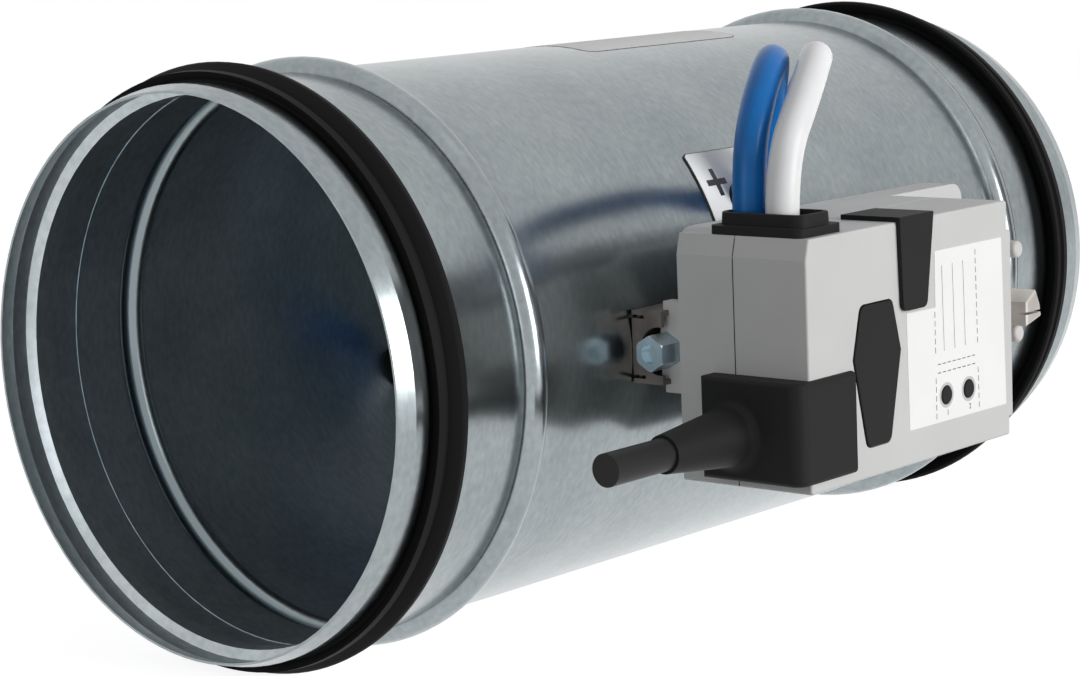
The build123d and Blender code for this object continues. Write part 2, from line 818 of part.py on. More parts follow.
# Middle shell between the gear case and the housing's seam
with BuildPart() as middle:
    with BuildSketch(at_y(y_step)):
        with Locations((mid_x, 0)):
            RectangleRounded(front_len, 2 * housing_half, edge_round)
    extrude(amount=mid_depth)
    with BuildSketch(at_y(y_step - wall)):
        with Locations((mid_x, 0)):
            Rectangle(front_len - 2 * wall, 2 * (housing_half - wall))
    extrude(amount=mid_depth, mode=Mode.SUBTRACT)
    with BuildSketch(at_y(y_step)):
        with Locations((motor_x, 0)):
            Circle(journal_r + 1.5)
    extrude(amount=wall, mode=Mode.SUBTRACT)
    with BuildSketch(at_y(y_step)):
        end_wedge()
    extrude(amount=mid_depth, mode=Mode.SUBTRACT)
    chamfer(middle.faces().sort_by(Axis.Y)[0].outer_wire().edges(), seam_groove)
keep("housing_middle", middle)

# Motor on its plate, with the pinion that reaches into the gear case
plate_y = y_step - wall
with BuildPart() as gear_plate:
    with BuildSketch(at_y(plate_y)):
        with Locations((motor_x, 0)):
            RectangleRounded(gear_plate_len, 2 * gear_plate_half, 4)
            Circle(journal_r + 1.5, mode=Mode.SUBTRACT)
    extrude(amount=gear_plate_t)
keep("motor_plate", gear_plate)

with BuildPart() as motor:
    with BuildSketch(at_y(plate_y - gear_plate_t)):
        with Locations((motor_x, 0)):
            Circle(motor_r)
    extrude(amount=motor_len)
    chamfer(motor.edges().group_by(Axis.Y)[0], 0.8)
    with BuildSketch(at_y(plate_y - gear_plate_t)):
        with Locations((motor_x, 0)):
            Circle(journal_r + shaft_fit)
    extrude(amount=4, mode=Mode.SUBTRACT)
keep("motor", motor)

with BuildPart() as motor_pinion:
    with BuildSketch(at_y(wheel_y)):
        with BuildLine():
            Polyline(*gear_points(pinion_teeth, motor_x, 0, 180 / pinion_teeth), close=True)
        make_face()
    extrude(amount=wheel_t)
    with BuildSketch(at_y(wheel_y)):
        with Locations((motor_x, 0)):
            Circle(journal_r)
    extrude(amount=wheel_y - plate_y + gear_plate_t + 3)
keep("motor_pinion", motor_pinion)

# Front cover with the label's recess, the button holes and the service cover's channel
release_mid = front_x0 + release_x


def release_shape(grow):
    """Elongated hexagon of the release button, grown evenly."""
    Polygon(
        (release_mid - release_top_w / 2 - grow, release_top_z + grow),
        (release_mid + release_top_w / 2 + grow, release_top_z + grow),
        (release_mid + release_mid_w / 2 + grow, release_wide_z),
        (release_mid + release_low_w / 2 + grow, release_low_z - grow),
        (release_mid - release_low_w / 2 - grow, release_low_z - grow),
        (release_mid - release_mid_w / 2 - grow, release_wide_z),
        align=None,
    )


with BuildPart() as front:
    with BuildSketch(at_y(y_seam)):
        with Locations((mid_x, 0)):
            RectangleRounded(front_len, 2 * housing_half, edge_round)
    extrude(amount=cover_depth)
    with BuildSketch(at_y(y_seam)):
        end_wedge()
    extrude(amount=cover_depth, mode=Mode.SUBTRACT)
    fillet(front.faces().sort_by(Axis.Y)[0].edges(), edge_round - 0.3)
    chamfer(front.faces().sort_by(Axis.Y)[-1].edges(), seam_groove)
    with BuildSketch(at_y(y_seam)):
        with Locations((mid_x, 0)):
            Rectangle(front_len - 2 * wall, 2 * (housing_half - wall))
    extrude(amount=cover_depth - wall, mode=Mode.SUBTRACT)
    with BuildSketch(at_y(y_face + wall)) as release_hole:
        release_shape(button_fit)
        fillet(release_hole.vertices().group_by(Axis.Y)[-1], release_corner)
        fillet(release_hole.vertices().group_by(Axis.Y)[0], release_corner)
    extrude(amount=wall, mode=Mode.SUBTRACT)
    with BuildSketch(at_y(y_face + wall)):
        for x in push_x:
            with Locations((front_x0 + x, push_z)):
                Circle(push_r + button_fit)
    extrude(amount=wall, mode=Mode.SUBTRACT)
keep("housing_front", front)

with BuildPart() as strip:
    with BuildSketch(Plane.YZ.offset(front_x1)):
        with Locations(((y_face + end_strip_in + end_strip_w / 2), (end_strip_top + end_strip_low) / 2)):
            RectangleRounded(end_strip_w, end_strip_top - end_strip_low, 1.0)
    extrude(amount=end_strip_t)
keep("end_strip", strip)


# Release button: a flanged cap that slides on a fixed post against a spring
inside_y = y_face + wall
with BuildPart() as release:
    with BuildSketch(at_y(inside_y + button_flange)) as release_face:
        release_shape(0)
        fillet(release_face.vertices().group_by(Axis.Y)[-1], release_corner)
        fillet(release_face.vertices().group_by(Axis.Y)[0], release_corner)
    extrude(amount=button_flange + wall + release_proud)
    chamfer(release.edges().group_by(Axis.Y)[0], 0.2)
    with BuildSketch(at_y(inside_y + button_flange)):
        release_shape(button_flange)
    extrude(amount=button_flange - lay_gap)
    with BuildSketch(at_y(inside_y + button_flange + release_stem_len)):
        with Locations((release_mid, release_stem_z)):
            Circle(release_stem_r)
    extrude(amount=release_stem_len)
keep("release_button", release)

with BuildPart() as guide:
    with BuildSketch(at_y(plate_y)):
        with Locations((release_mid, release_stem_z)):
            Circle(release_stem_r + 2)
    guide_top = inside_y + button_flange + release_travel + 1
    extrude(amount=plate_y - guide_top)
    with BuildSketch(at_y(inside_y + button_flange + release_stem_len + release_travel + 1)):
        with Locations((release_mid, release_stem_z)):
            Circle(release_stem_r + shaft_fit)
    extrude(amount=release_stem_len + release_travel + 5, mode=Mode.SUBTRACT)
keep("release_guide", guide)

# Bare board behind the cover, on four posts of the middle shell
board_y = inside_y + board_gap
with BuildPart() as board:
    with BuildSketch(at_y(board_y + board_t)):
        with Locations((motor_x, 0)):
            Rectangle(gear_plate_len, 2 * (housing_half - wall) - 2)
    extrude(amount=board_t)
keep("circuit_board", board)

post_x = (motor_x - gear_plate_len / 2 + 5, motor_x + gear_plate_len / 2 - 5)
post_z = gear_plate_half - 4
with BuildPart() as posts:
    with BuildSketch(at_y(plate_y - gear_plate_t)):
        for x in post_x:
            with Locations((x, post_z), (x, -post_z)):
                Circle(post_r)
    extrude(amount=plate_y - gear_plate_t - board_y - board_t)
keep("board_posts", posts)

# Small push buttons on the board, each with a round cap in its hole
for index, x in enumerate(push_x, start=1):
    with BuildPart() as switch:
        with BuildSketch(at_y(board_y)):
            with Locations((front_x0 + x, push_z)):
                Rectangle(switch_side, switch_side)
        extrude(amount=switch_t)
    keep(f"switch_body_{index}", switch)
    with BuildPart() as push:
        with BuildSketch(at_y(board_y - switch_t - push_travel)):
            with Locations((front_x0 + x, push_z)):
                Circle(push_r)
        extrude(amount=board_y - switch_t - push_travel - y_face + push_proud)
        chamfer(push.edges().group_by(Axis.Y)[0], 0.3)
        with BuildSketch(at_y(inside_y + lay_gap + 0.8)):
            with Locations((front_x0 + x, push_z)):
                Circle(push_r + 0.8)
        extrude(amount=0.8)
    keep(f"push_button_{index}", push)

# Differential pressure sensor standing under the gland, in the left of the housing
sensor_x = front_x0 + wall + sensor_lx / 2
with BuildPart() as sensor:
    with Locations((sensor_x, y_seam + 1, housing_half - wall - sensor_down - sensor_h / 2)):
        Box(sensor_lx, sensor_ly, sensor_h)
    fillet(sensor.edges().filter_by(Axis.Z), 1.5)
    for foot in (blue_root, white_root):
        with Locations((foot.X, foot.Y, housing_half - wall - sensor_port_in)):
            Cylinder(sensor_port_r, sensor_port_len)
keep("pressure_sensor", sensor)

# Service cover: a flat bar on the face that wraps over the top
with BuildPart() as cap:
    with BuildSketch(Plane.YZ.offset(front_x0 + cover_x[0])):
        Polygon(
            (y_face, cover_low_z),
            (y_face, housing_half),
            (y_face + cover_back, housing_half),
            (y_face + cover_back, housing_half + cover_t),
            (y_face - cover_t, housing_half + cover_t),
            (y_face - cover_t, cover_low_z),
            align=None,
        )
    extrude(amount=cover_x[1] - cover_x[0])
    with BuildSketch(at_y(y_face + 2 * cover_back)) as cap_outline:
        Polygon(
            (front_x0 + cover_low_x[0], cover_low_z),
            (front_x0 + cover_low_x[1], cover_low_z),
            (front_x0 + cover_x[1], housing_half + cover_t),
            (front_x0 + cover_x[0], housing_half + cover_t),
            align=None,
        )
        fillet(cap_outline.vertices().group_by(Axis.Y)[0], cover_corner)
    extrude(amount=4 * cover_back, mode=Mode.INTERSECT)
    fillet(cap.edges().filter_by(Axis.X).group_by(Axis.Y)[0].group_by(Axis.Z)[-1], 0.4)
keep("service_cover", cap)

# Gland over the housing's top that both sensor hoses come out of
gland_mid = front_x0 + gland_x
with BuildPart() as gland:
    with BuildSketch(Plane.XY.offset(housing_half)):
        with Locations((gland_mid, gland_y)):
            RectangleRounded(gland_lx, gland_ly, 2.6)
    extrude(amount=gland_flange_t)
    collar_x = gland_lx - 2 * gland_collar_in[0]
    collar_y = gland_ly - 2 * gland_collar_in[1]
    with BuildSketch(Plane.XY.offset(housing_half + gland_flange_t)):
        with Locations((gland_mid, gland_y)):
            RectangleRounded(collar_x, collar_y, 4)
    extrude(amount=gland_top - gland_flange_t, taper=4)
    fillet(gland.faces().sort_by(Axis.Z)[-1].edges(), 0.4)
    with BuildSketch(Plane.XY.offset(gland_z)):
        with Locations((gland_mid, gland_y)):
            RectangleRounded(collar_x - 2 * gland_rim, collar_y - 2 * gland_rim, 3.2)
    extrude(amount=gland_recess + 1, mode=Mode.SUBTRACT)
keep("hose_gland", gland)

# Connector boot that wraps the housing's lower left corner, with its strain relief
boot_x0 = front_x0 - boot_left
with BuildPart() as boot:
    with BuildSketch(Plane.XY.offset(boot_low_z)):
        with BuildLine():
            Polyline(
                (boot_x0, y_step - boot_back_in),
                (front_x0, y_step - boot_back_in),
                (front_x0, y_face),
                (front_x0 + boot_right, y_face),
                (front_x0 + boot_right, y_face - boot_front),
                (boot_x0, y_face - boot_front),
                close=True,
            )
        make_face()
    extrude(amount=boot_top_z - boot_low_z)
    outer_corner = boot.edges().filter_by(Axis.Z).sort_by(lambda e: e.center().X + e.center().Y)[0]
    fillet(outer_corner, boot_corner)
    left_edges = boot.faces().sort_by(Axis.X)[0].edges()
    fillet(left_edges.filter_by(Axis.Y) + left_edges.sort_by(Axis.Y)[-1:], boot_edge)
    with BuildSketch(Plane(origin=(boot_x0, relief_y, relief_z), z_dir=(-1, 0, 0))):
        Circle(relief_base_r)
    cone_taper = math.degrees(math.atan((relief_base_r - relief_end_r) / relief_len))
    extrude(amount=relief_len, taper=cone_taper)
    root = boot.edges().filter_by(GeomType.CIRCLE).filter_by(lambda e: abs(e.radius - relief_base_r) < 0.01)
    fillet(root, relief_blend)
keep("cable_boot", boot)

with BuildPart() as stub:
    with BuildSketch(Plane(origin=(boot_x0 - relief_len, relief_y, relief_z), z_dir=(-1, 0, 0))):
        Circle(cable_r)
    extrude(amount=cable_len)
keep("cable_stub", stub)

# Console on the duct: a channel whose end plate is hollowed out round the torque stud
console_y = -(duct_r + console_gap)
console_out = console_y - console_t - console_side
with BuildPart() as console:
    with BuildSketch(Plane.YZ.offset(console_x)):
        with Locations(((console_y + console_out) / 2, console_z)):
            Rectangle(console_y - console_out, 2 * console_half)
    extrude(amount=console_len)
    with Locations((console_x + console_t + console_len / 2, console_out, console_z)):
        Box(console_len, 2 * console_side, 2 * (console_half - console_t), mode=Mode.SUBTRACT)
    with Locations((rear_x0 - 1.5 + console_len / 2, console_y - console_t - 3 - console_side, console_z)):
        Box(console_len, 2 * console_side, 4 * console_half, mode=Mode.SUBTRACT)
    with BuildSketch(Plane.YZ.offset(console_x)):
        with Locations((stud_y, stud_z)):
            Circle(seat_r)
    extrude(amount=console_t, mode=Mode.SUBTRACT)
    for side in (-1, 1):
        with Locations((console_x, console_y, console_z + side * (console_half - 1.5 * console_t))):
            Box(4 * console_t, 2 * console_notch, 0.8 * console_t, mode=Mode.SUBTRACT)
keep("console_bracket", console)

with BuildPart() as stud:
    with BuildSketch(Plane.YZ.offset(stud_x)):
        with Locations((stud_y, stud_z)):
            RegularPolygon(stud_af / 2, 6, major_radius=False, rotation=30)
    extrude(amount=rear_x0 - stud_x)
    with BuildSketch(Plane.YZ.offset(stud_x)):
        with Locations((stud_y, stud_z)):
            Circle(stud_face_r)
    extrude(amount=rear_x0 - stud_x, taper=-30, mode=Mode.INTERSECT)
    with BuildSketch(Plane.YZ.offset(stud_x)):
        with Locations((stud_y, stud_z)):
            Circle(stud_af * 0.31)
    extrude(amount=1.6, mode=Mode.SUBTRACT)
keep("torque_stud", stud)

# Plastic fork that centres the stud and grips the console's two flanges from outside
with BuildPart() as fork:
    with BuildSketch(Plane.YZ.offset(fork_x)):
        with Locations(((fork_inner_y + fork_outer_y) / 2, console_z)):
            Rectangle(fork_inner_y - fork_outer_y, 2 * (console_half - console_t - fork_gap))
        with Locations(((console_out - fork_gap + fork_outer_y) / 2, console_z)):
            Rectangle(console_out - fork_gap - fork_outer_y, 2 * (console_half + fork_gap + fork_clip))
        for side in (-1, 1):
            clip_z = console_z + side * (console_half + fork_gap + fork_clip / 2)
            with Locations((console_out - fork_gap / 2, clip_z)):
                Rectangle(2 * fork_clip_in, fork_clip)
        with Locations((stud_y, stud_z)):
            RegularPolygon(stud_af / 2 + shaft_fit, 6, major_radius=False, rotation=30, mode=Mode.SUBTRACT)
    extrude(amount=fork_web)
keep("torque_fork", fork)

# Shaft clamp: a split yoke on the shaft in front of the hub, its bolt and nut, and its slotted lug
yoke_y = hub_front - ring_t
ear_x = shaft_x + clamp_front - 4.2
with BuildPart() as yoke:
    with BuildSketch(at_y(yoke_y)):
        with Locations((shaft_x + (clamp_front - clamp_back) / 2, 0)):
            RectangleRounded(clamp_front + clamp_back, 2 * clamp_half, 1.5)
        with Locations((shaft_x, 0)):
            Circle(shaft_r + shaft_fit, mode=Mode.SUBTRACT)
        with Locations((shaft_x + clamp_front, 0)):
            Rectangle(2 * (clamp_front - shaft_r + 1), yoke_split, mode=Mode.SUBTRACT)
    extrude(amount=clamp_len)
    chamfer(yoke.faces().sort_by(Axis.Y)[0].edges().filter_by(GeomType.LINE), 0.5)
    with BuildSketch(Plane.XY.offset(-2 * clamp_half)):
        with Locations((ear_x, yoke_y - clamp_len / 2)):
            Circle(blade_bolt_r + hole_fit)
    extrude(amount=4 * clamp_half, mode=Mode.SUBTRACT)
keep("clamp_yoke", yoke)

with BuildPart() as clamp_bolt:
    with BuildSketch(Plane.XY.offset(-clamp_half - 4.5)):
        with Locations((ear_x, yoke_y - clamp_len / 2)):
            Circle(blade_bolt_r)
    extrude(amount=2 * clamp_half + 4.5)
    with BuildSketch(Plane.XY.offset(clamp_half)):
        with Locations((ear_x, yoke_y - clamp_len / 2)):
            RegularPolygon(blade_nut_af / 2, 6, major_radius=False)
    extrude(amount=blade_bolt_head_t)
keep("clamp_bolt", clamp_bolt)

with BuildPart() as clamp_nut:
    with BuildSketch(Plane.XY.offset(-clamp_half)):
        with Locations((ear_x, yoke_y - clamp_len / 2)):
            RegularPolygon(blade_nut_af / 2, 6, major_radius=False)
            Circle(blade_bolt_r + hole_fit, mode=Mode.SUBTRACT)
    extrude(amount=-4)
keep("clamp_nut", clamp_nut)

nose_y = y_face + nose_front_in
with BuildPart() as lug:
    with BuildSketch(at_y(nose_y + nose_len)):
        Polygon(*((shaft_x + x, z) for x, z in nose), align=None)
    extrude(amount=nose_len)
    chamfer(lug.faces().sort_by(Axis.Y)[0].edges(), 0.5)
    with Locations((shaft_x + nose[0][0], nose_y, nose_slot_z)):
        Box(6 * nose_root, 2 * nose_slot_in, nose_slot, mode=Mode.SUBTRACT)
    root_x = (shaft_x + clamp_front + shaft_x + nose[0][0] + 1) / 2
    root_z = (nose[0][1] + nose[1][1]) / 2
    with Locations((root_x, nose_y + nose_len - nose_root / 2, root_z)):
        Box(2 * (root_x - shaft_x - clamp_front), nose_root, nose[1][1] - nose[0][1])
keep("clamp_lug", lug)

whole = Compound(children=list(finished.values()))
box = whole.bounding_box()
print("pieces", len(finished))
print("box", box.min, box.max)
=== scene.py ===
# %% [markdown]
# # A variable air volume damper for a round duct
#
# A damper of this kind is a short piece of galvanised duct. A disc blade inside it turns on a shaft,
# a small motor outside turns the shaft, and two thin hoses tell the motor's controller how much air
# goes through. The solids come from the CAD model, already in place, in metres. This lesson dresses
# them: zinc with its crystals, rubber, moulded plastic, silicone hose, paper labels and printed marks.

# %% Load the solids
import math

import bpy
import numpy as np
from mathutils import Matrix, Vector


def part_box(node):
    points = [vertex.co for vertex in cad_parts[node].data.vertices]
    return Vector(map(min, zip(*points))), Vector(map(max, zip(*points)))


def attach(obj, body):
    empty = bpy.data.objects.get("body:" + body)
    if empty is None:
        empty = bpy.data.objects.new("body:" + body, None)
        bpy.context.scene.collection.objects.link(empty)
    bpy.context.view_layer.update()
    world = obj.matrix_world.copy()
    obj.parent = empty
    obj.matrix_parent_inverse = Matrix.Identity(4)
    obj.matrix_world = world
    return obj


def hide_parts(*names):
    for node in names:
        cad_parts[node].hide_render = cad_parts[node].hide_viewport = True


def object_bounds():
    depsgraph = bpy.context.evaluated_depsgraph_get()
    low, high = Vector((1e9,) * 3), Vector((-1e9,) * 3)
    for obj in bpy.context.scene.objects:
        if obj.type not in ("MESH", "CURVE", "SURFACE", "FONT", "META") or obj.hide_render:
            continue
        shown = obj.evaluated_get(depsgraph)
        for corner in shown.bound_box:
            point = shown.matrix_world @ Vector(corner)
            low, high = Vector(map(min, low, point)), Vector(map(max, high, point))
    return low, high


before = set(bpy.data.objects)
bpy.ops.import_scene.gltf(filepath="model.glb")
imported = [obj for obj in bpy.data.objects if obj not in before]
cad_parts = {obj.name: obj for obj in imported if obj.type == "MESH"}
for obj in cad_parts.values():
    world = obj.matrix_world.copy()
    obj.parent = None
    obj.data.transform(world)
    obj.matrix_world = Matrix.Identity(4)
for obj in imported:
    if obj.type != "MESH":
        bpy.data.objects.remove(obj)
cad_box = [list(map(float, corner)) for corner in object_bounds()]
print("CAD box", cad_box)

# %% [markdown]
# ## Helpers for every finish
#
# Colours are picked on a screen, so they are written as sRGB hex and turned to linear light once.
# A finish is a small network of nodes. One function adds a node, sets it and wires it, which keeps
# every material readable from top to bottom.


# %% Colour and node helpers
def linear(hex_colour):
    """sRGB hex to linear RGBA: below 0.04045 divide by 12.92, above it the 2.4 power curve."""
    values = [int(hex_colour[i : i + 2], 16) / 255 for i in (1, 3, 5)]
    curve = [v / 12.92 if v <= 0.04045 else ((v + 0.055) / 1.055) ** 2.4 for v in values]
    return (*curve, 1.0)


def fill(tree, node, inputs):
    """Gives each named input its value, or a link where the value is another node's output."""
    for key, value in inputs.items():
        if isinstance(value, bpy.types.NodeSocket):
            tree.links.new(value, node.inputs[key])
        else:
            node.inputs[key].default_value = value


def add(tree, kind, settings=None, inputs=None, stops=()):
    """Adds a node, sets its attributes, fills its inputs and gives a colour ramp its stops."""
    node = tree.nodes.new(kind)
    for key, value in (settings or {}).items():
        setattr(node, key, value)
    fill(tree, node, inputs or {})
    for index, (position, colour) in enumerate(stops):
        node.color_ramp.elements[index].position = position
        node.color_ramp.elements[index].color = linear(colour)
    return node


def new_finish(name, **values):
    """A material with one Principled shader, whose plain values are set here."""
    mat = bpy.data.materials.new(name)
    mat.use_nodes = True
    shader = mat.node_tree.nodes["Principled BSDF"]
    fill(mat.node_tree, shader, {key.replace("_", " "): value for key, value in values.items()})
    return mat, mat.node_tree, shader


print("white is", linear("#ffffff"), "mid grey is", linear("#808080"))

# %% [markdown]
# ## Galvanised sheet
#
# This sheet is continuously galvanised, so its zinc crystals are small: a mottle one to three
# millimetres wide, hardly lighter or darker than its neighbours, drawn out a little round the tube.
# Two noises give that mottle and the broad cloudy patches. Their sum sets the tone and, very faintly,
# the bump. The mottle is laid on plain x, y and z, with x packed twice as tight as the other two, and
# that alone draws it out round the tube, because the tube lies along x.
#
# The inside of the sheet is painted lighter than the outside: painted light, where little light reaches
# into the bore. The way the surface faces tells the two sides apart. Outside it points away from the
# duct's axis, inside it points at the axis. Inside, the hollow back of the inlet's stop bead is painted
# darker: painted shade in that groove.


# %% Galvanised sheet
# Inside the duct, a band round this bead is painted darker: painted shade in the bead's hollow.
inlet_bead_x = 0.0448  # the middle of the inlet's stop bead, in metres along the duct
bead_to_wall = {"From Min": 0.0036, "From Max": 0.0052}  # metres from that middle
inside_to_outside = {"From Min": -0.6, "From Max": -0.4}  # of the dot product
tone_places = (0.36, 0.74)  # where the dark and the light tone stand on the ramp
drawn_round = 0.52
mottle_share = 1.2


def galvanised(name, outside, inside, painted_groove_shade, mottle_mm, roughness):
    """Zinc-coated sheet bent round the x axis, with a (dark, light) pair of tones for either side.
    The tone is half of 1.2 times the mottle plus the cloud. The side comes from the dot product of
    the direction away from the axis and the surface's normal, which is 1 outside and -1 inside."""
    mat, tree, shader = new_finish(name, Metallic=1.0)
    surface = add(tree, "ShaderNodeTexCoord")
    place = surface.outputs["Object"]
    split = add(tree, "ShaderNodeSeparateXYZ", inputs={"Vector": place})
    flat = add(tree, "ShaderNodeCombineXYZ", inputs={"Y": split.outputs["Y"], "Z": split.outputs["Z"]})
    radial = add(tree, "ShaderNodeVectorMath", {"operation": "NORMALIZE"}, {0: flat.outputs[0]})
    facing = add(
        tree,
        "ShaderNodeVectorMath",
        {"operation": "DOT_PRODUCT"},
        {0: radial.outputs[0], 1: surface.outputs["Normal"]},
    )
    outer = add(
        tree, "ShaderNodeMapRange", inputs={"Value": facing.outputs["Value"], **inside_to_outside}
    ).outputs["Result"]
    along = add(
        tree, "ShaderNodeMath", {"operation": "SUBTRACT"}, {0: split.outputs["X"], 1: inlet_bead_x}
    )
    from_bead = add(tree, "ShaderNodeMath", {"operation": "ABSOLUTE"}, {0: along.outputs[0]})
    plain_wall = add(
        tree, "ShaderNodeMapRange", inputs={"Value": from_bead.outputs[0], **bead_to_wall}
    ).outputs["Result"]

    per_metre = 1000 / mottle_mm
    packed = add(
        tree,
        "ShaderNodeMapping",
        inputs={"Vector": place, "Scale": (per_metre, drawn_round * per_metre, drawn_round * per_metre)},
    )
    mottle = add(
        tree, "ShaderNodeTexNoise", inputs={"Vector": packed.outputs[0], "Scale": 1.0, "Detail": 3.0}
    )
    cloud = add(tree, "ShaderNodeTexNoise", inputs={"Vector": place, "Scale": 40.0, "Detail": 4.0})
    both = add(
        tree,
        "ShaderNodeMath",
        {"operation": "MULTIPLY_ADD"},
        {0: mottle.outputs["Fac"], 1: mottle_share, 2: cloud.outputs["Fac"]},
    )
    tone = add(tree, "ShaderNodeMath", {"operation": "MULTIPLY"}, {0: both.outputs[0], 1: 0.5})
    # The duct's inside pair is lighter than its outside pair: painted light in the bore.
    sheet, wall = (
        add(tree, "ShaderNodeValToRGB", inputs={"Fac": tone.outputs[0]}, stops=zip(tone_places, pair))
        for pair in (outside, inside)
    )
    # By the inlet's bead the inside takes the darker groove colour: painted shade in the bead's hollow.
    inner = add(
        tree,
        "ShaderNodeMix",
        {"data_type": "RGBA"},
        {"Factor": plain_wall, 6: linear(painted_groove_shade), 7: wall.outputs["Color"]},
    )
    colour = add(
        tree,
        "ShaderNodeMix",
        {"data_type": "RGBA"},
        {"Factor": outer, 6: inner.outputs[2], 7: sheet.outputs["Color"]},
    )

    inner_rough = add(
        tree,
        "ShaderNodeMapRange",
        inputs={"Value": plain_wall, "To Min": roughness - 0.05, "To Max": roughness + 0.16},
    )
    rough = add(
        tree,
        "ShaderNodeMapRange",
        inputs={"Value": outer, "To Min": inner_rough.outputs["Result"], "To Max": roughness},
    )
    bump = add(
        tree,
        "ShaderNodeBump",
        inputs={"Height": both.outputs[0], "Strength": 0.02, "Distance": 0.0003},
    )
    wires = {
        "Base Color": colour.outputs[2],
        "Roughness": rough.outputs["Result"],
        "Normal": bump.outputs["Normal"],
    }
    fill(tree, shader, wires)
    return mat


print("the mottle is drawn out round the tube", round(1 / drawn_round, 2), "times")

# %% Duct sheet and blade sheet
duct_zinc = galvanised(
    "galvanised_duct_sheet",
    outside=("#858d90", "#9ba2a4"),
    # The inside pair is lighter than the outside: painted light in the bore.
    inside=("#abb4b8", "#ced5d8"),
    # Painted shade in the hollow of the inlet's bead.
    painted_groove_shade="#7d888c",
    mottle_mm=1.5,
    roughness=0.23,
)
blade_zinc = galvanised(
    "galvanised_blade_sheet",
    outside=("#7e878b", "#8d969a"),
    inside=("#7e878b", "#8c9599"),
    painted_groove_shade="#858e92",
    mottle_mm=1.5,
    roughness=0.45,
)
print("finishes", duct_zinc.name, blade_zinc.name)

# %% [markdown]
# ## Plated and plain steel, aluminium
#
# Small steel parts are zinc plated in a barrel: a thin, even, slightly blue coat with no crystals.
# The stamped bracket is duller and browner, and the shaft's clamp is die cast, warmer and softer in
# its gloss. The measuring tubes are drawn aluminium, with fine lines along the tube, which lies
# along y, so there the noise is stretched along y.


# %% Small metal parts
def plated(name, light, dark, roughness, grain=400.0, stretch=(1.0, 1.0, 1.0)):
    """Metal: a cloud sets the tone from dark to light, a fine grain sets roughness and bump.
    Stretch multiplies the grain's coordinates, so a small number draws it out along that axis."""
    mat, tree, shader = new_finish(name, Metallic=1.0)
    place = add(tree, "ShaderNodeTexCoord").outputs["Object"]
    drawn = add(tree, "ShaderNodeMapping", inputs={"Vector": place, "Scale": stretch})
    cloud = add(tree, "ShaderNodeTexNoise", inputs={"Vector": place, "Scale": 120.0, "Detail": 4.0})
    lines = add(
        tree, "ShaderNodeTexNoise", inputs={"Vector": drawn.outputs[0], "Scale": grain, "Detail": 3.0}
    ).outputs["Fac"]
    tone = add(
        tree,
        "ShaderNodeValToRGB",
        inputs={"Fac": cloud.outputs["Fac"]},
        stops=[(0.3, dark), (0.7, light)],
    )
    rough = add(
        tree,
        "ShaderNodeMapRange",
        inputs={"Value": lines, "To Min": roughness - 0.07, "To Max": roughness + 0.09},
    )
    bump = add(
        tree, "ShaderNodeBump", inputs={"Height": lines, "Strength": 0.12, "Distance": 0.0002}
    )
    wires = {
        "Base Color": tone.outputs["Color"],
        "Roughness": rough.outputs["Result"],
        "Normal": bump.outputs["Normal"],
    }
    fill(tree, shader, wires)
    return mat


zinc_plate = plated("barrel_zinc_plated_steel", "#c6d6df", "#a9bcc6", 0.30)
dull_zinc = plated("dull_stamped_steel", "#8d8681", "#6e6762", 0.42)
drawn_tube = plated("drawn_aluminium_tube", "#cfd2d4", "#b3b7ba", 0.30, 500.0, (1.0, 0.06, 1.0))
die_cast = plated("die_cast_clamp_zinc", "#d3cec9", "#bfb9b4", 0.40)
print("finishes", zinc_plate.name, dull_zinc.name, drawn_tube.name, die_cast.name)

# %% [markdown]
# ## Moulded plastic and rubber
#
# Moulded plastic copies the mould's spark-eroded texture, about a tenth of a millimetre across. That
# is too fine for this picture, so the grain is drawn three to five times as coarse with a very low
# bump, and shows as a soft sheen. Rubber is darker, has no clear highlight, and carries a faint bloom.


# %% Plastic and rubber
def moulded(name, colour, shade, roughness, grain_mm, depth, gloss=0.5):
    """Plastic or rubber: a cloud runs from shade to colour, over a grain. A noise of scale 1 is a
    metre from bump to bump, so 500 / grain_mm gives a bump and a dip of grain_mm each."""
    mat, tree, shader = new_finish(name, IOR=1.5, Specular_IOR_Level=gloss)
    place = add(tree, "ShaderNodeTexCoord").outputs["Object"]
    cloud = add(
        tree, "ShaderNodeTexNoise", inputs={"Vector": place, "Scale": 35.0, "Detail": 4.0}
    ).outputs["Fac"]
    grain = add(
        tree, "ShaderNodeTexNoise", inputs={"Vector": place, "Scale": 500.0 / grain_mm, "Detail": 2.0}
    ).outputs["Fac"]
    tone = add(
        tree, "ShaderNodeValToRGB", inputs={"Fac": cloud}, stops=[(0.3, shade), (0.7, colour)]
    )
    rough = add(
        tree,
        "ShaderNodeMapRange",
        inputs={"Value": cloud, "To Min": roughness - 0.04, "To Max": roughness + 0.05},
    )
    bump = add(
        tree, "ShaderNodeBump", inputs={"Height": grain, "Strength": depth, "Distance": 0.00015}
    )
    wires = {
        "Base Color": tone.outputs["Color"],
        "Roughness": rough.outputs["Result"],
        "Normal": bump.outputs["Normal"],
    }
    fill(tree, shader, wires)
    return mat


shell_grey = moulded("moulded_light_grey_abs", "#d4d4d3", "#cfcfce", 0.50, 0.35, 0.05, 0.3)
pale_nylon = moulded("moulded_natural_nylon", "#dcdad7", "#d2cfcb", 0.42, 0.35, 0.05)
black_pbt = moulded("moulded_black_pbt", "#202020", "#1d1d1d", 0.60, 0.4, 0.04, 0.15)
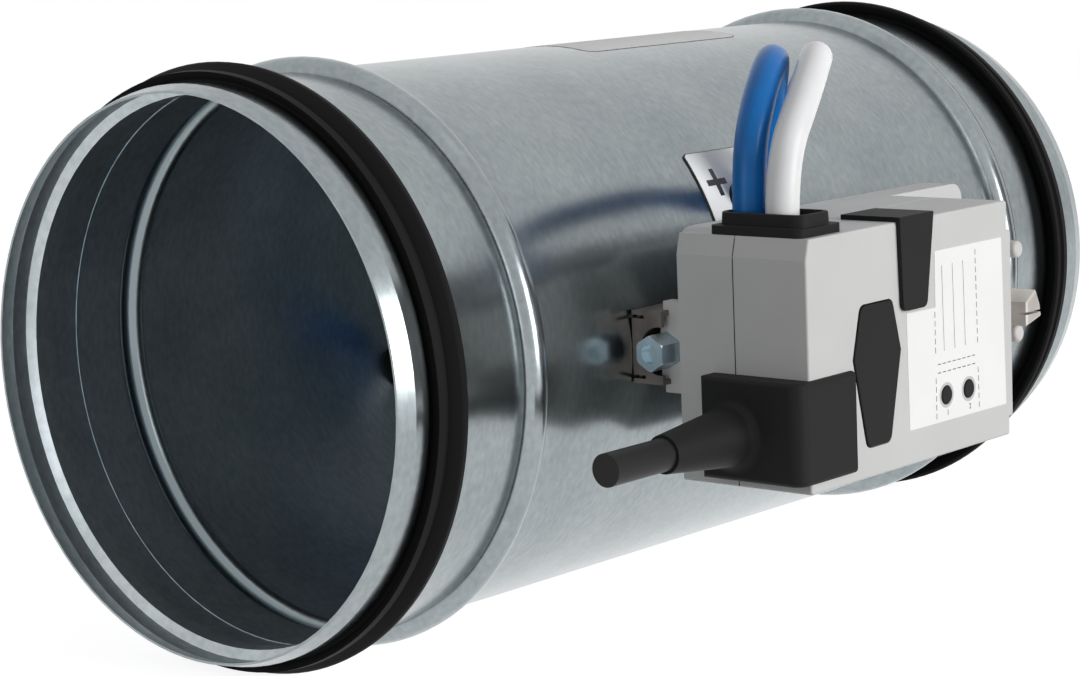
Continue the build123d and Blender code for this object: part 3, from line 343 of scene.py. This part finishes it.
# Rubber for the gaskets and grommets; the same dark finish also paints the shade in the shells' seam.
epdm_and_seam_shade = moulded("epdm_rubber_and_seam_shade", "#151515", "#121212", 0.65, 0.5, 0.03, 0.12)
cable_pvc = moulded("black_cable_pvc", "#1d1d1d", "#1a1a1a", 0.50, 0.5, 0.03, 0.25)
board_green = moulded("green_board_resist", "#1e5b3a", "#1a4f33", 0.30, 0.5, 0.03)
print("finishes", shell_grey.name, pale_nylon.name, black_pbt.name, epdm_and_seam_shade.name, cable_pvc.name)

# %% [markdown]
# ## Silicone hose
#
# The sensor hoses are extruded silicone: soft, a little see-through at the skin and slightly tacky,
# which shows as a broad highlight and faint dust. A little subsurface gives the blue its depth.


# %% Silicone hose
def silicone(name, colour, shade, scatter):
    """Extruded silicone: a cloud runs from shade to colour, over a shallow scatter in metres."""
    mat, tree, shader = new_finish(
        name, IOR=1.41, Specular_IOR_Level=0.35, Subsurface_Weight=0.10, Subsurface_Scale=scatter
    )
    place = add(tree, "ShaderNodeTexCoord").outputs["Object"]
    cloud = add(
        tree, "ShaderNodeTexNoise", inputs={"Vector": place, "Scale": 90.0, "Detail": 5.0}
    ).outputs["Fac"]
    tone = add(
        tree, "ShaderNodeValToRGB", inputs={"Fac": cloud}, stops=[(0.3, shade), (0.7, colour)]
    )
    rough = add(tree, "ShaderNodeMapRange", inputs={"Value": cloud, "To Min": 0.26, "To Max": 0.38})
    fill(tree, shader, {"Base Color": tone.outputs["Color"], "Roughness": rough.outputs["Result"]})
    return mat


silicone_blue = silicone("blue_silicone_hose", "#0b74c4", "#0a69b4", 0.0008)
silicone_white = silicone("white_silicone_hose", "#f8f9fa", "#f1f2f4", 0.0010)
print("finishes", silicone_blue.name, silicone_white.name)

# %% [markdown]
# ## Dress the solids
#
# Every solid already has the right shape, so it only needs its finish. A table from finish to node
# names is easier to check than sixty separate lines.

# %% Give each solid its finish
dress = {
    duct_zinc: ["duct_casing"],
    blade_zinc: ["blade_plate_upstream", "blade_plate_downstream", "blade_rivets"],
    epdm_and_seam_shade: ["gasket_inlet", "gasket_outlet", "grommet_near", "grommet_far", "blade_seal"],
    zinc_plate: [
        "shaft",
        "blade_bolts",
        "blade_nuts",
        "gear_arbor",
        "motor",
        "motor_plate",
        "torque_stud",
        "clamp_bolt",
        "clamp_nut",
    ],
    die_cast: ["clamp_yoke", "clamp_lug"],
    dull_zinc: ["console_bracket"],
    drawn_tube: ["probe_plus_front", "probe_plus_rear", "probe_minus"],
    shell_grey: ["gear_case", "gear_case_cover", "housing_middle", "housing_front", "end_strip"],
    pale_nylon: [
        "torque_fork",
        "release_guide",
        "output_hub",
        "gear_wheel",
        "motor_pinion",
        "board_posts",
    ],
    black_pbt: [
        "bush_near",
        "bush_far",
        "probe_clip_near",
        "probe_clip_far",
        "probe_plug",
        "probe_elbow",
        "probe_tee",
        "tap_plus",
        "tap_minus",
        "release_button",
        "push_button_1",
        "push_button_2",
        "service_cover",
        "hose_gland",
        "cable_boot",
        "switch_body_1",
        "switch_body_2",
        "pressure_sensor",
    ],
    cable_pvc: ["cable_stub"],
    board_green: ["circuit_board"],
    silicone_blue: ["hose_blue", "inner_hose_plus", "u_hose"],
    silicone_white: ["hose_white", "inner_hose_minus"],
}
for finish, nodes in dress.items():
    for node in nodes:
        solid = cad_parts[node]
        solid.data.materials.clear()
        solid.data.materials.append(finish)
dressed = {node for nodes in dress.values() for node in nodes}
print("dressed", len(dressed), "left over", sorted(set(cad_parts) - dressed))

# %% [markdown]
# ## How a new piece joins the damper
#
# A mesh is only points and faces. An object carries it into the scene, at the origin, because every
# point already stands where it belongs. The piece then takes its finish and rides on its body. All
# pieces of this lesson sit on the casing.


# %% Piece helpers
def new_piece(name, mesh, finish, slot):
    """Carries a mesh into the scene with one finish, on the casing's body."""
    piece = bpy.data.objects.new(name, mesh)
    bpy.context.collection.objects.link(piece)
    mesh.materials.clear()
    mesh.materials.append(finish)
    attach(piece, "casing")
    return piece


def surface_piece(name, points, faces, finish, slot):
    """A piece from an array of points in metres and an array of four-cornered faces."""
    mesh = bpy.data.meshes.new(name)
    mesh.from_pydata(points.tolist(), [], faces.tolist())
    mesh.update()
    return new_piece(name, mesh, finish, slot)


print("helpers", new_piece.__name__, surface_piece.__name__)

# %% [markdown]
# ## The seam inside the inlet
#
# Where the lipped end is rolled on to the sheet, the edge of the inner layer shows as one thin bright
# line round the bore. A small closed profile, carried round the duct's axis, makes it as a real ridge.
# The bore's radius is 78.9 mm, so the ridge stands 0.18 mm proud and has its foot in the sheet.

# %% Inner seam
seam_profile = [(23.5, 78.98), (23.55, 78.72), (23.8, 78.72), (23.9, 78.98)]
seam_steps = 240


def ring(name, profile_mm, steps, finish, slot):
    """Each point (x, r) of the closed profile goes round the x axis: y is r cos a, z is r sin a."""
    x, r = np.array(profile_mm).T / 1000
    angle = np.linspace(0, 2 * np.pi, steps, endpoint=False)[:, None]
    points = np.stack([x + 0 * angle, r * np.cos(angle), r * np.sin(angle)], axis=-1).reshape(-1, 3)
    index = np.arange(len(points)).reshape(steps, len(x))
    after, beside = np.roll(index, -1, axis=0), np.roll(index, -1, axis=1)
    faces = np.stack([index, beside, np.roll(after, -1, axis=1), after], axis=-1).reshape(-1, 4)
    return surface_piece(name, points, faces, finish, slot)


inner_seam = ring("inner_seam", seam_profile, seam_steps, zinc_plate, "galv")
print("seam", len(inner_seam.data.polygons), "faces")

# %% [markdown]
# ## Sensor hoses
#
# Each hose leaves the gland straight up, bends over in one lazy arch and comes down on its tap. A
# NURBS curve through a few control points bends the way a hose does: evenly, with no corners. The
# first points are steps from the hose's foot in the gland. The last three are counted from the tap:
# one beside it, one out along the nipple's own line, and the nipple itself.

# %% Hose routes
gland_top = 38.1
tap_line = np.array([-0.2, -0.62, 0.76])
hose_radius = 4.6
hose_routes = {
    "blue": {
        "foot": (97.7, -113.2, gland_top),
        "steps": [(0, 0, 0), (-0.3, -0.2, 15.5), (8.1, 1.9, 31.2), (25.2, 9.1, 41.4), (38.7, 19.5, 35)],
        "tap": (149.5, -72.5, 36.1),
        "beside_tap": (-5.2, -13.6, 25.7),
        "straight_run": 12,
    },
    "white": {
        "foot": (97.7, -124.0, gland_top),
        "steps": [(0, 0, 0), (0.2, -0.2, 15.5), (14.2, 1.9, 31.4), (34, 11.3, 41.6), (48.6, 23.4, 35.4)],
        "tap": (161.0, -72.5, 36.1),
        "beside_tap": (-7.6, -15.2, 24.9),
        "straight_run": 13,
    },
}


def hose_points(foot, steps, tap, beside_tap, straight_run):
    """The route in millimetres: foot plus each step, then three points counted from the tap."""
    tap = np.array(tap)
    last = [tap + np.array(beside_tap), tap + tap_line * straight_run, tap]
    return np.concatenate([np.array(foot) + np.array(steps), last])


print("blue route\n", hose_points(**hose_routes["blue"]).round(1))


# %% Sensor hoses
def hose(name, points_mm, finish, node):
    """A round tube along a NURBS curve of order 3 whose control points are the route's points."""
    curve = bpy.data.curves.new(name, "CURVE")
    curve.dimensions = "3D"
    spline = curve.splines.new("NURBS")
    spline.points.add(len(points_mm) - 1)
    spline.points.foreach_set("co", np.column_stack([points_mm / 1000, np.ones(len(points_mm))]).ravel())
    spline.order_u = 3
    spline.use_endpoint_u = True
    spline.resolution_u = 16
    curve.bevel_depth = hose_radius / 1000
    curve.bevel_resolution = 8
    curve.use_fill_caps = True
    tube = bpy.data.objects.new(name, curve)
    bpy.context.collection.objects.link(tube)
    curve.materials.append(finish)
    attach(tube, "casing")
    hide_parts(node)
    return tube


blue_points, white_points = (hose_points(**hose_routes[colour]) for colour in ("blue", "white"))
blue_hose = hose("sensor_hose_blue", blue_points, silicone_blue, "hose_blue")
white_hose = hose(
    "sensor_hose_white", white_points, silicone_white, "hose_white"
)
print("hoses", blue_hose.name, white_hose.name)

# %% [markdown]
# ## Flat pieces: labels and printed marks
#
# A label is a thin sheet with rounded corners. A flat filled curve makes its outline with real holes
# for the push buttons, and a little extrusion gives the paper its thickness. The result is turned into
# a mesh, and only then is each point carried on to the housing's face: flat x stays x, flat y becomes
# height, and the thickness stands out to -Y.


# %% Outlines
def rounded_outline(corners, radius, steps=6):
    """Cuts each corner off at the distance radius along both edges and joins the two cuts by a
    quadratic curve: (1 - t) squared of the first, 2 t (1 - t) of the corner, t squared of the last."""
    corners = np.array(corners, float)
    before = np.roll(corners, 1, axis=0) - corners
    after = np.roll(corners, -1, axis=0) - corners
    start = corners + radius * before / np.linalg.norm(before, axis=1)[:, None]
    end = corners + radius * after / np.linalg.norm(after, axis=1)[:, None]
    t = np.linspace(0, 1, steps)[None, :, None]
    bend = (1 - t) ** 2 * start[:, None] + 2 * t * (1 - t) * corners[:, None] + t**2 * end[:, None]
    return bend.reshape(-1, 2)


def circle_outline(centre, radius, steps=40):
    """Points on a circle: the centre plus radius times the cosine and sine of each angle."""
    a = np.linspace(0, 2 * np.pi, steps, endpoint=False)
    return np.array(centre) + radius * np.stack([np.cos(a), np.sin(a)], axis=1)


square = [(0, 0), (10, 0), (10, 10), (0, 10)]
print("outline of a 10 mm square has", len(rounded_outline(square, 1)), "points")


# %% Flat sheets
def meshed(name, curve, place):
    """The flat curve or text as a mesh that stands on z = 0, its points then moved by place."""
    carrier = bpy.data.objects.new(name + "_carrier", curve)
    mesh = bpy.data.meshes.new_from_object(carrier)
    mesh.name = name
    points = np.empty(len(mesh.vertices) * 3)
    mesh.vertices.foreach_get("co", points)
    standing = points.reshape(-1, 3) + (0, 0, curve.extrude)
    mesh.vertices.foreach_set("co", place(standing).ravel())
    mesh.update()
    bpy.data.objects.remove(carrier)
    return mesh


def flat_sheet(name, outlines, thickness, place, finish, slot):
    """Filled outlines in millimetres, given a thickness, each point then moved by place."""
    curve = bpy.data.curves.new(name + "_outline", "CURVE")
    curve.dimensions = "2D"
    curve.fill_mode = "BOTH"
    curve.extrude = thickness / 2000
    for outline in outlines:
        spline = curve.splines.new("POLY")
        spline.points.add(len(outline) - 1)
        flat = np.column_stack([outline / 1000, np.zeros(len(outline)), np.ones(len(outline))])
        spline.points.foreach_set("co", flat.ravel())
        spline.use_cyclic_u = True
    return new_piece(name, meshed(name, curve, place), finish, slot)


def on_face(y_mm, centre=(0, 0)):
    """Flat x and y, moved by centre, become x and z. The back lies on the plane y."""
    x, z = np.array(centre) / 1000
    return lambda flat: np.column_stack([flat[:, 0] + x, y_mm / 1000 - flat[:, 2], flat[:, 1] + z])


print("a point 1 mm up and 2 mm thick goes to", on_face(0)(np.array([[0, 0.001, 0.002]])))

# %% [markdown]
# ## The painted shadow between the two shells
#
# Where the controller's front shell meets the rest of the housing, the seam shows as one dark line all
# round it. It is painted shade: a thin dark flat ring in the rubber's finish, cut to the housing's own
# outline, which has a bevel at its upper left corner.

# %% Shell seam, painted shadow
seam_shadow_thickness = 0.36
shadow_outside, shadow_inside = 0.14, 0.9
bevel_along, bevel_down = 1.5, 5.6


def inset(corners, depth):
    """Moves each corner towards the middle, so that the outline's sides go in by depth."""
    low, high = corners.min(axis=0), corners.max(axis=0)
    middle, half = (low + high) / 2, (high - low) / 2
    return middle + (corners - middle) * (1 - depth / half)


shell_low, shell_high = (np.array(corner) * 1000 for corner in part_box("housing_front"))
left, right, top = shell_low[0], shell_high[0], shell_high[2]
shell_corners = np.array(
    [(left, -top), (right, -top), (right, top), (left + bevel_along, top), (left, top - bevel_down)]
)
# A dark ring at the seam: painted shade between the two shells.
shell_seam_shadow = flat_sheet(
    "shell_seam_shadow",
    [rounded_outline(inset(shell_corners, depth), 0.9) for depth in (shadow_outside, shadow_inside)],
    seam_shadow_thickness,
    on_face(shell_high[1] + seam_shadow_thickness / 2),
    epdm_and_seam_shade,
    "rubber_black",
)
print("seal round", shell_corners.round(1).tolist(), "at y", round(shell_high[1], 2))

# %% [markdown]
# ## The front label
#
# A white label covers the right of the housing's front and steps round the dark service cover. Each
# push button shows in a hole with a pale ring. Coated paper is smooth and white with a soft gloss, and
# ink is a thin matt film on it, so every mark is a sheet of its own, a few hundredths of a millimetre
# thick.

# %% Front label
label_paper = moulded("coated_label_paper", "#fbfbfa", "#f7f7f6", 0.45, 0.5, 0.02)
ring_grey = moulded("printed_pale_grey_ink", "#cdcecf", "#c6c7c8", 0.45, 0.5, 0.02)
face_y = -139.3
paper_mm = 0.12
print_y = face_y - paper_mm
buttons = [(151.5, -17.1), (162.9, -17.1)]
hole_radius, ring_radii = 2.75, (3.6, 2.8)
label_corners = [
    (133.0, -24.2),
    (182.7, -24.6),
    (181.3, 23.7),
    (146.8, 23.8),
    (146.8, 8.1),
    (132.5, 8.4),
]
holes = [circle_outline(centre, hole_radius) for centre in buttons]
front_label = flat_sheet(
    "front_label",
    [rounded_outline(label_corners, 0.5), *holes],
    paper_mm,
    on_face(face_y),
    label_paper,
    "plastic_light",
)
rings = flat_sheet(
    "push_button_rings",
    [circle_outline(centre, radius) for centre in buttons for radius in ring_radii],
    0.04,
    on_face(print_y),
    ring_grey,
    "plastic_light",
)
print("front label", len(front_label.data.vertices), "rings", len(rings.data.vertices))

# %% [markdown]
# ## Printed frames and rules
#
# Two dashed frames divide the label, and three thin rules run down its upper part. A dash is a small
# rectangle, worked out from the line that it lies on, and a rule is one long dash.

# %% Printed frames and rules
# Grey ink for the frames, also painted shadow under the top label's edge.
grey_ink_and_shadow = moulded("grey_ink_and_painted_shadow", "#58595b", "#505153", 0.50, 0.5, 0.02)
left_x, right_x = 146.4, 168.0
frame_lines = [
    ((left_x, 7.0), (left_x, -6.6)),
    ((right_x - 0.6, 22.0), (right_x, -6.0)),
    ((left_x + 1, -8.0), (right_x - 1, -8.0)),
    ((left_x + 1, -10.4), (right_x - 1, -10.4)),
    ((left_x, -11.6), (left_x, -23.6)),
    ((right_x, -11.6), (right_x + 0.3, -23.6)),
]
rule_lines = [((x, 19.5), (x + 0.6, -4.5)) for x in (150.2, 155.6, 161.0)]


def dashes(start, end, dash=1.6, gap=0.9, width=0.26):
    """Outlines of the dashes from start to end: each begins one dash and one gap after the last."""
    start, end = np.array(start, float), np.array(end, float)
    length = np.linalg.norm(end - start)
    along = (end - start) / length
    side = np.array([-along[1], along[0]]) * width / 2
    count = max(int((length + gap) // (dash + gap)), 1)
    first = start + along * (dash + gap) * np.arange(count)[:, None]
    last = first + along * dash
    return list(np.stack([first - side, last - side, last + side, first + side], axis=1))


marks = [mark for line in frame_lines for mark in dashes(*line)]
marks += [mark for line in rule_lines for mark in dashes(*line, dash=24.0, width=0.18)]
label_marks = flat_sheet(
    "front_label_frame", marks, 0.03, on_face(print_y), grey_ink_and_shadow, "plastic_black"
)
print(label_marks.name, len(marks), "marks")

# %% [markdown]
# ## Plain numbers
#
# The two push buttons are numbered on the label. A text object is a curve too, so it takes the same
# way as the label: it is filled, given the thickness of ink, made a mesh and carried on to the face.

# %% Plain numbers
# Black ink for the numbers and the plus sign, also painted shadow under the plus plate's edge.
black_ink_and_shadow = moulded("black_ink_and_painted_shadow", "#262627", "#202021", 0.50, 0.5, 0.02)
number_right, number_down = 0.6, 5.1
number_height = 2.2
ink_mm = 0.04
for index, (x, z) in enumerate(buttons, start=1):
    name = f"button_number_{index}"
    words = bpy.data.curves.new(name + "_text", "FONT")
    words.body = str(index)
    words.size = number_height / 1000
    words.align_x = "CENTER"
    words.align_y = "CENTER"
    words.extrude = ink_mm / 2000
    mesh = meshed(name, words, on_face(print_y, (x + number_right, z - number_down)))
    new_piece(name, mesh, black_ink_and_shadow, "plastic_black")
print("numbers placed under", len(buttons), "buttons")

# %% [markdown]
# ## Labels on the duct
#
# Two thin plates lie on the round sheet: a long one over the top and a small one beside the taps that
# marks the plus side. The long one is a matt silver film. Under each lies a dark sheet, a little larger,
# which is painted shadow along the plate's edge. Bending a flat sheet round a tube needs one formula: the
# flat sheet's height becomes an angle, which is the height divided by the radius. The angle starts at
# the actuator's side and goes up, so 90 degrees is the duct's top.

# %% Bent plates
duct_r = 79.6
per_degree = math.radians(1) * duct_r


def bent_patch(name, x_range, arc_range, thickness, corner, finish, slot, steps=40):
    """A grid along x and round the tube, with an outer skin, an inner skin and a rim between them.
    Its corners are quarter circles of radius corner: at the distance d from the arc's end both sides
    go in by the radius less the root of radius squared minus (radius less d) squared."""
    arc, along = np.meshgrid(np.linspace(*arc_range, steps), np.linspace(0, 1, steps), indexing="ij")
    to_end = np.minimum(arc - arc_range[0], arc_range[1] - arc)
    chord = np.sqrt(np.clip(corner**2 - (corner - to_end) ** 2, 0, None))
    pull = np.where(to_end < corner, corner - chord, 0)
    x = (x_range[0] + pull) + (x_range[1] - x_range[0] - 2 * pull) * along
    angle = arc / duct_r
    points = np.concatenate(
        [
            np.stack([x, -r * np.cos(angle), r * np.sin(angle)], axis=-1).reshape(-1, 3) / 1000
            for r in (duct_r, duct_r + thickness)
        ]
    )
    index = np.arange(steps * steps).reshape(steps, steps)
    a, b, c, d = index[:-1, :-1], index[:-1, 1:], index[1:, 1:], index[1:, :-1]
    inner = np.stack([a, d, c, b], axis=-1).reshape(-1, 4)
    rim = np.concatenate([index[0, :], index[1:, -1], index[-1, -2::-1], index[-2:0:-1, 0]])
    after = np.roll(rim, -1)
    up = steps * steps
    side = np.stack([after, after + up, rim + up, rim], axis=-1)
    faces = np.concatenate([inner, inner[:, ::-1] + up, side])
    return surface_piece(name, points, faces, finish, slot)


print("one degree round the duct is", round(per_degree, 3), "mm")

# %% Labels on the duct
matt_film = moulded("matt_silver_film", "#efefef", "#e8e8e8", 0.55, 0.5, 0.02)
top_arc = np.array([78, 114]) * per_degree
plate_arc = np.array([20.5, 38.2]) * per_degree
wider = np.array([-1, 1])
plate_mm = 0.5
plates = {
    # The two edge sheets under the labels are painted shadow along their edges.
    "top_label_painted_shadow": ((148.9, 223.5), top_arc + 0.25 * wider, 0.05, 3.0, grey_ink_and_shadow, "plastic_black"),
    "top_label": ((149.1, 223.3), top_arc, 0.08, 3.0, matt_film, "plastic_light"),
    "plus_plate_painted_shadow": ((133.7, 159.7), plate_arc + 0.3 * wider, 0.35, 1.2, black_ink_and_shadow, "plastic_black"),
    "plus_plate": ((134.1, 159.4), plate_arc, plate_mm, 1.0, label_paper, "plastic_light"),
}
duct_labels = [bent_patch(name, *row) for name, row in plates.items()]
print("duct labels", [label.name for label in duct_labels])

# %% [markdown]
# ## The plus sign
#
# The plus side's plate carries a plain plus sign. It is one twelve-cornered outline, made flat as the
# front label is, and then bent round the tube on top of its plate.

# %% Plus sign
plus_centre = np.array([141.8, 31.1 * per_degree])
arm, half = 4.4, 0.95


def on_duct(radius_mm):
    """Flat x stays x, flat y is the arc from the actuator's side upwards, thickness goes outwards."""

    def place(flat):
        angle = flat[:, 1] / (radius_mm / 1000)
        r = radius_mm / 1000 + flat[:, 2]
        return np.column_stack([flat[:, 0], -r * np.cos(angle), r * np.sin(angle)])

    return place


corner_x = (-half, half, half, arm, arm, half, half, -half, -half, -arm, -arm, -half)
corner_y = (-arm, -arm, -half, -half, half, half, arm, arm, half, half, -half, -half)
plus_sign = np.stack([corner_x, corner_y], axis=1) + plus_centre
plus_mark = flat_sheet(
    "plus_mark", [plus_sign], 0.05, on_duct(duct_r + plate_mm), black_ink_and_shadow, "plastic_black"
)
print("plus sign", len(plus_sign), "corners on", plus_mark.name)

# %% [markdown]
# ## Floor and backdrop
#
# A pale floor meets a pale backdrop, so the damper stands in plain studio light. Both are white to the
# camera and to every reflection, and plain grey to the solids. The Light Path node tells the rays
# apart, so the picture gets its white ground with no more light on the damper.

# %% Floor and world
floor_z = cad_box[0][2]
reach = 6.0


def stage_sheet(name, corners, finish):
    """A flat four-cornered sheet of the studio, which is no part of the damper."""
    mesh = bpy.data.meshes.new(name)
    mesh.from_pydata(corners, [], [(0, 1, 2, 3)])
    sheet = bpy.data.objects.new(name, mesh)
    bpy.context.collection.objects.link(sheet)
    mesh.materials.append(finish)
    return sheet


def seen_or_reflected(tree, seen, mirrored):
    """Camera rays times seen, plus the rays that metal or glass sends on times mirrored."""
    ray = add(tree, "ShaderNodeLightPath")
    sent_on = add(
        tree,
        "ShaderNodeMath",
        {"operation": "MAXIMUM"},
        {0: ray.outputs["Is Glossy Ray"], 1: ray.outputs["Is Transmission Ray"]},
    )
    direct = add(
        tree, "ShaderNodeMath", {"operation": "MULTIPLY"}, {0: ray.outputs["Is Camera Ray"], 1: seen}
    )
    both = add(
        tree,
        "ShaderNodeMath",
        {"operation": "MULTIPLY_ADD"},
        {0: sent_on.outputs[0], 1: mirrored, 2: direct.outputs[0]},
    )
    return both.outputs[0]


paper, tree, shader = new_finish("white_studio_paper", Roughness=0.9, Specular_IOR_Level=0.0)
fill(tree, shader, {"Base Color": linear("#a9a9a9")})
glow_strength = seen_or_reflected(tree, seen=0.89, mirrored=1.03)
glow = add(tree, "ShaderNodeEmission", inputs={"Color": (1, 1, 1, 1), "Strength": glow_strength})
lit = add(tree, "ShaderNodeAddShader", inputs={0: shader.outputs[0], 1: glow.outputs[0]})
fill(tree, tree.nodes["Material Output"], {"Surface": lit.outputs[0]})
corners = [(x * reach, y * reach, floor_z) for x, y in ((-1, -1), (1, -1), (1, 1), (-1, 1))]
floor = stage_sheet("studio_floor", corners, paper)

world = bpy.data.worlds.new("studio")
bpy.context.scene.world = world
world.use_nodes = True
tree = world.node_tree
shown = seen_or_reflected(tree, seen=1.0, mirrored=1.0)
sky = add(tree, "ShaderNodeMapRange", inputs={"Value": shown, "To Min": 0.29, "To Max": 1.0})
fill(tree, tree.nodes["Background"], {"Color": (1, 1, 1, 1), "Strength": sky.outputs["Result"]})
print(floor.name, "at", round(floor_z, 4))

# %% [markdown]
# ## Two dark flags
#
# Bright metal needs something dark to reflect, or its shape is lost against the white. A photographer
# hangs black cloth just outside the picture. Here one flag lies on the floor, past the actuator and the
# outlet, and one stands at its far edge. Their corners are counted along two level directions, one
# away from the damper and one across it. Only reflections see the flags, so they cast no shadow.

# %% Dark flags
flag_cloth, tree, shader = new_finish("dark_flag_cloth", Roughness=0.95, Specular_IOR_Level=0.0)
fill(tree, shader, {"Base Color": linear("#0c0e10")})
away, wide = np.array([0.78, -0.62, 0.0]), np.array([0.62, 0.78, 0.0])
ground = np.array([0, 0, floor_z + 0.002])
near_left = away * 0.55 - wide * 0.4 + ground
near_right = away * 0.60 + wide * 0.08 + ground
far_left = away * 0.85 - wide * 0.5 + ground
far_right = away * 0.85 + wide * 0.1 + ground
top_left, top_right = far_left + (0, 0, 0.60), far_right + (0, 0, 0.38)
flags = [
    stage_sheet("dark_flag_lying", [near_left, far_left, far_right, near_right], flag_cloth),
    stage_sheet("dark_flag_standing", [far_left, far_right, top_right, top_left], flag_cloth),
]
for flag in flags:
    for ray_kind in ("camera", "diffuse", "transmission", "shadow"):
        setattr(flag, "visible_" + ray_kind, False)
print("flags", [flag.name for flag in flags])

# %% [markdown]
# ## Lamps
#
# Large square lamps give soft shadows. The main one stands on the actuator's side, where it lights the
# controller's front. Two weak ones, above and at the inlet, keep the top and the lip from going flat.

# %% Lamps
lamps = {
    "soft_front": {"place": (0.45, -1.7, 0.25), "target": (0.15, -0.08, 0.0), "size": 1.0, "watts": 24.5},
    "soft_top": {"place": (0.1, -0.2, 1.7), "target": (0.15, 0.0, 0.0), "size": 1.2, "watts": 0.5},
    "soft_left": {"place": (-1.6, -0.15, 0.1), "target": (0.1, 0.0, 0.0), "size": 0.8, "watts": 3},
}
for name, lamp in lamps.items():
    data = bpy.data.lights.new(name, "AREA")
    data.shape = "SQUARE"
    data.size = lamp["size"]
    data.energy = lamp["watts"]
    obj = bpy.data.objects.new(name, data)
    bpy.context.collection.objects.link(obj)
    obj.location = lamp["place"]
    look = Vector(lamp["target"]) - Vector(lamp["place"])
    obj.rotation_euler = look.to_track_quat("-Z", "Y").to_euler()
print("lamps", sorted(lamps))

# %% [markdown]
# ## Camera
#
# The camera stands before the inlet, on the actuator's side and a little above the axis. Its place and
# its turn were fitted to the round edges of the casing and to the corners of the actuator. The damper
# is small and near, so the nearest thing that the camera shows may be one centimetre away.

# %% Camera
camera = bpy.data.objects.new("camera", bpy.data.cameras.new("camera"))
bpy.context.collection.objects.link(camera)
camera.location = (-0.52329, -0.57723, 0.12615)
camera.rotation_euler = [math.radians(turn) for turn in (81.25, 2.344, -49.336)]
camera.data.sensor_width = 36.0
camera.data.lens = 96.7
camera.data.clip_start = 0.01
bpy.context.scene.camera = camera
bpy.context.scene.view_settings.view_transform = "Standard"
print("lens", round(camera.data.lens, 2))
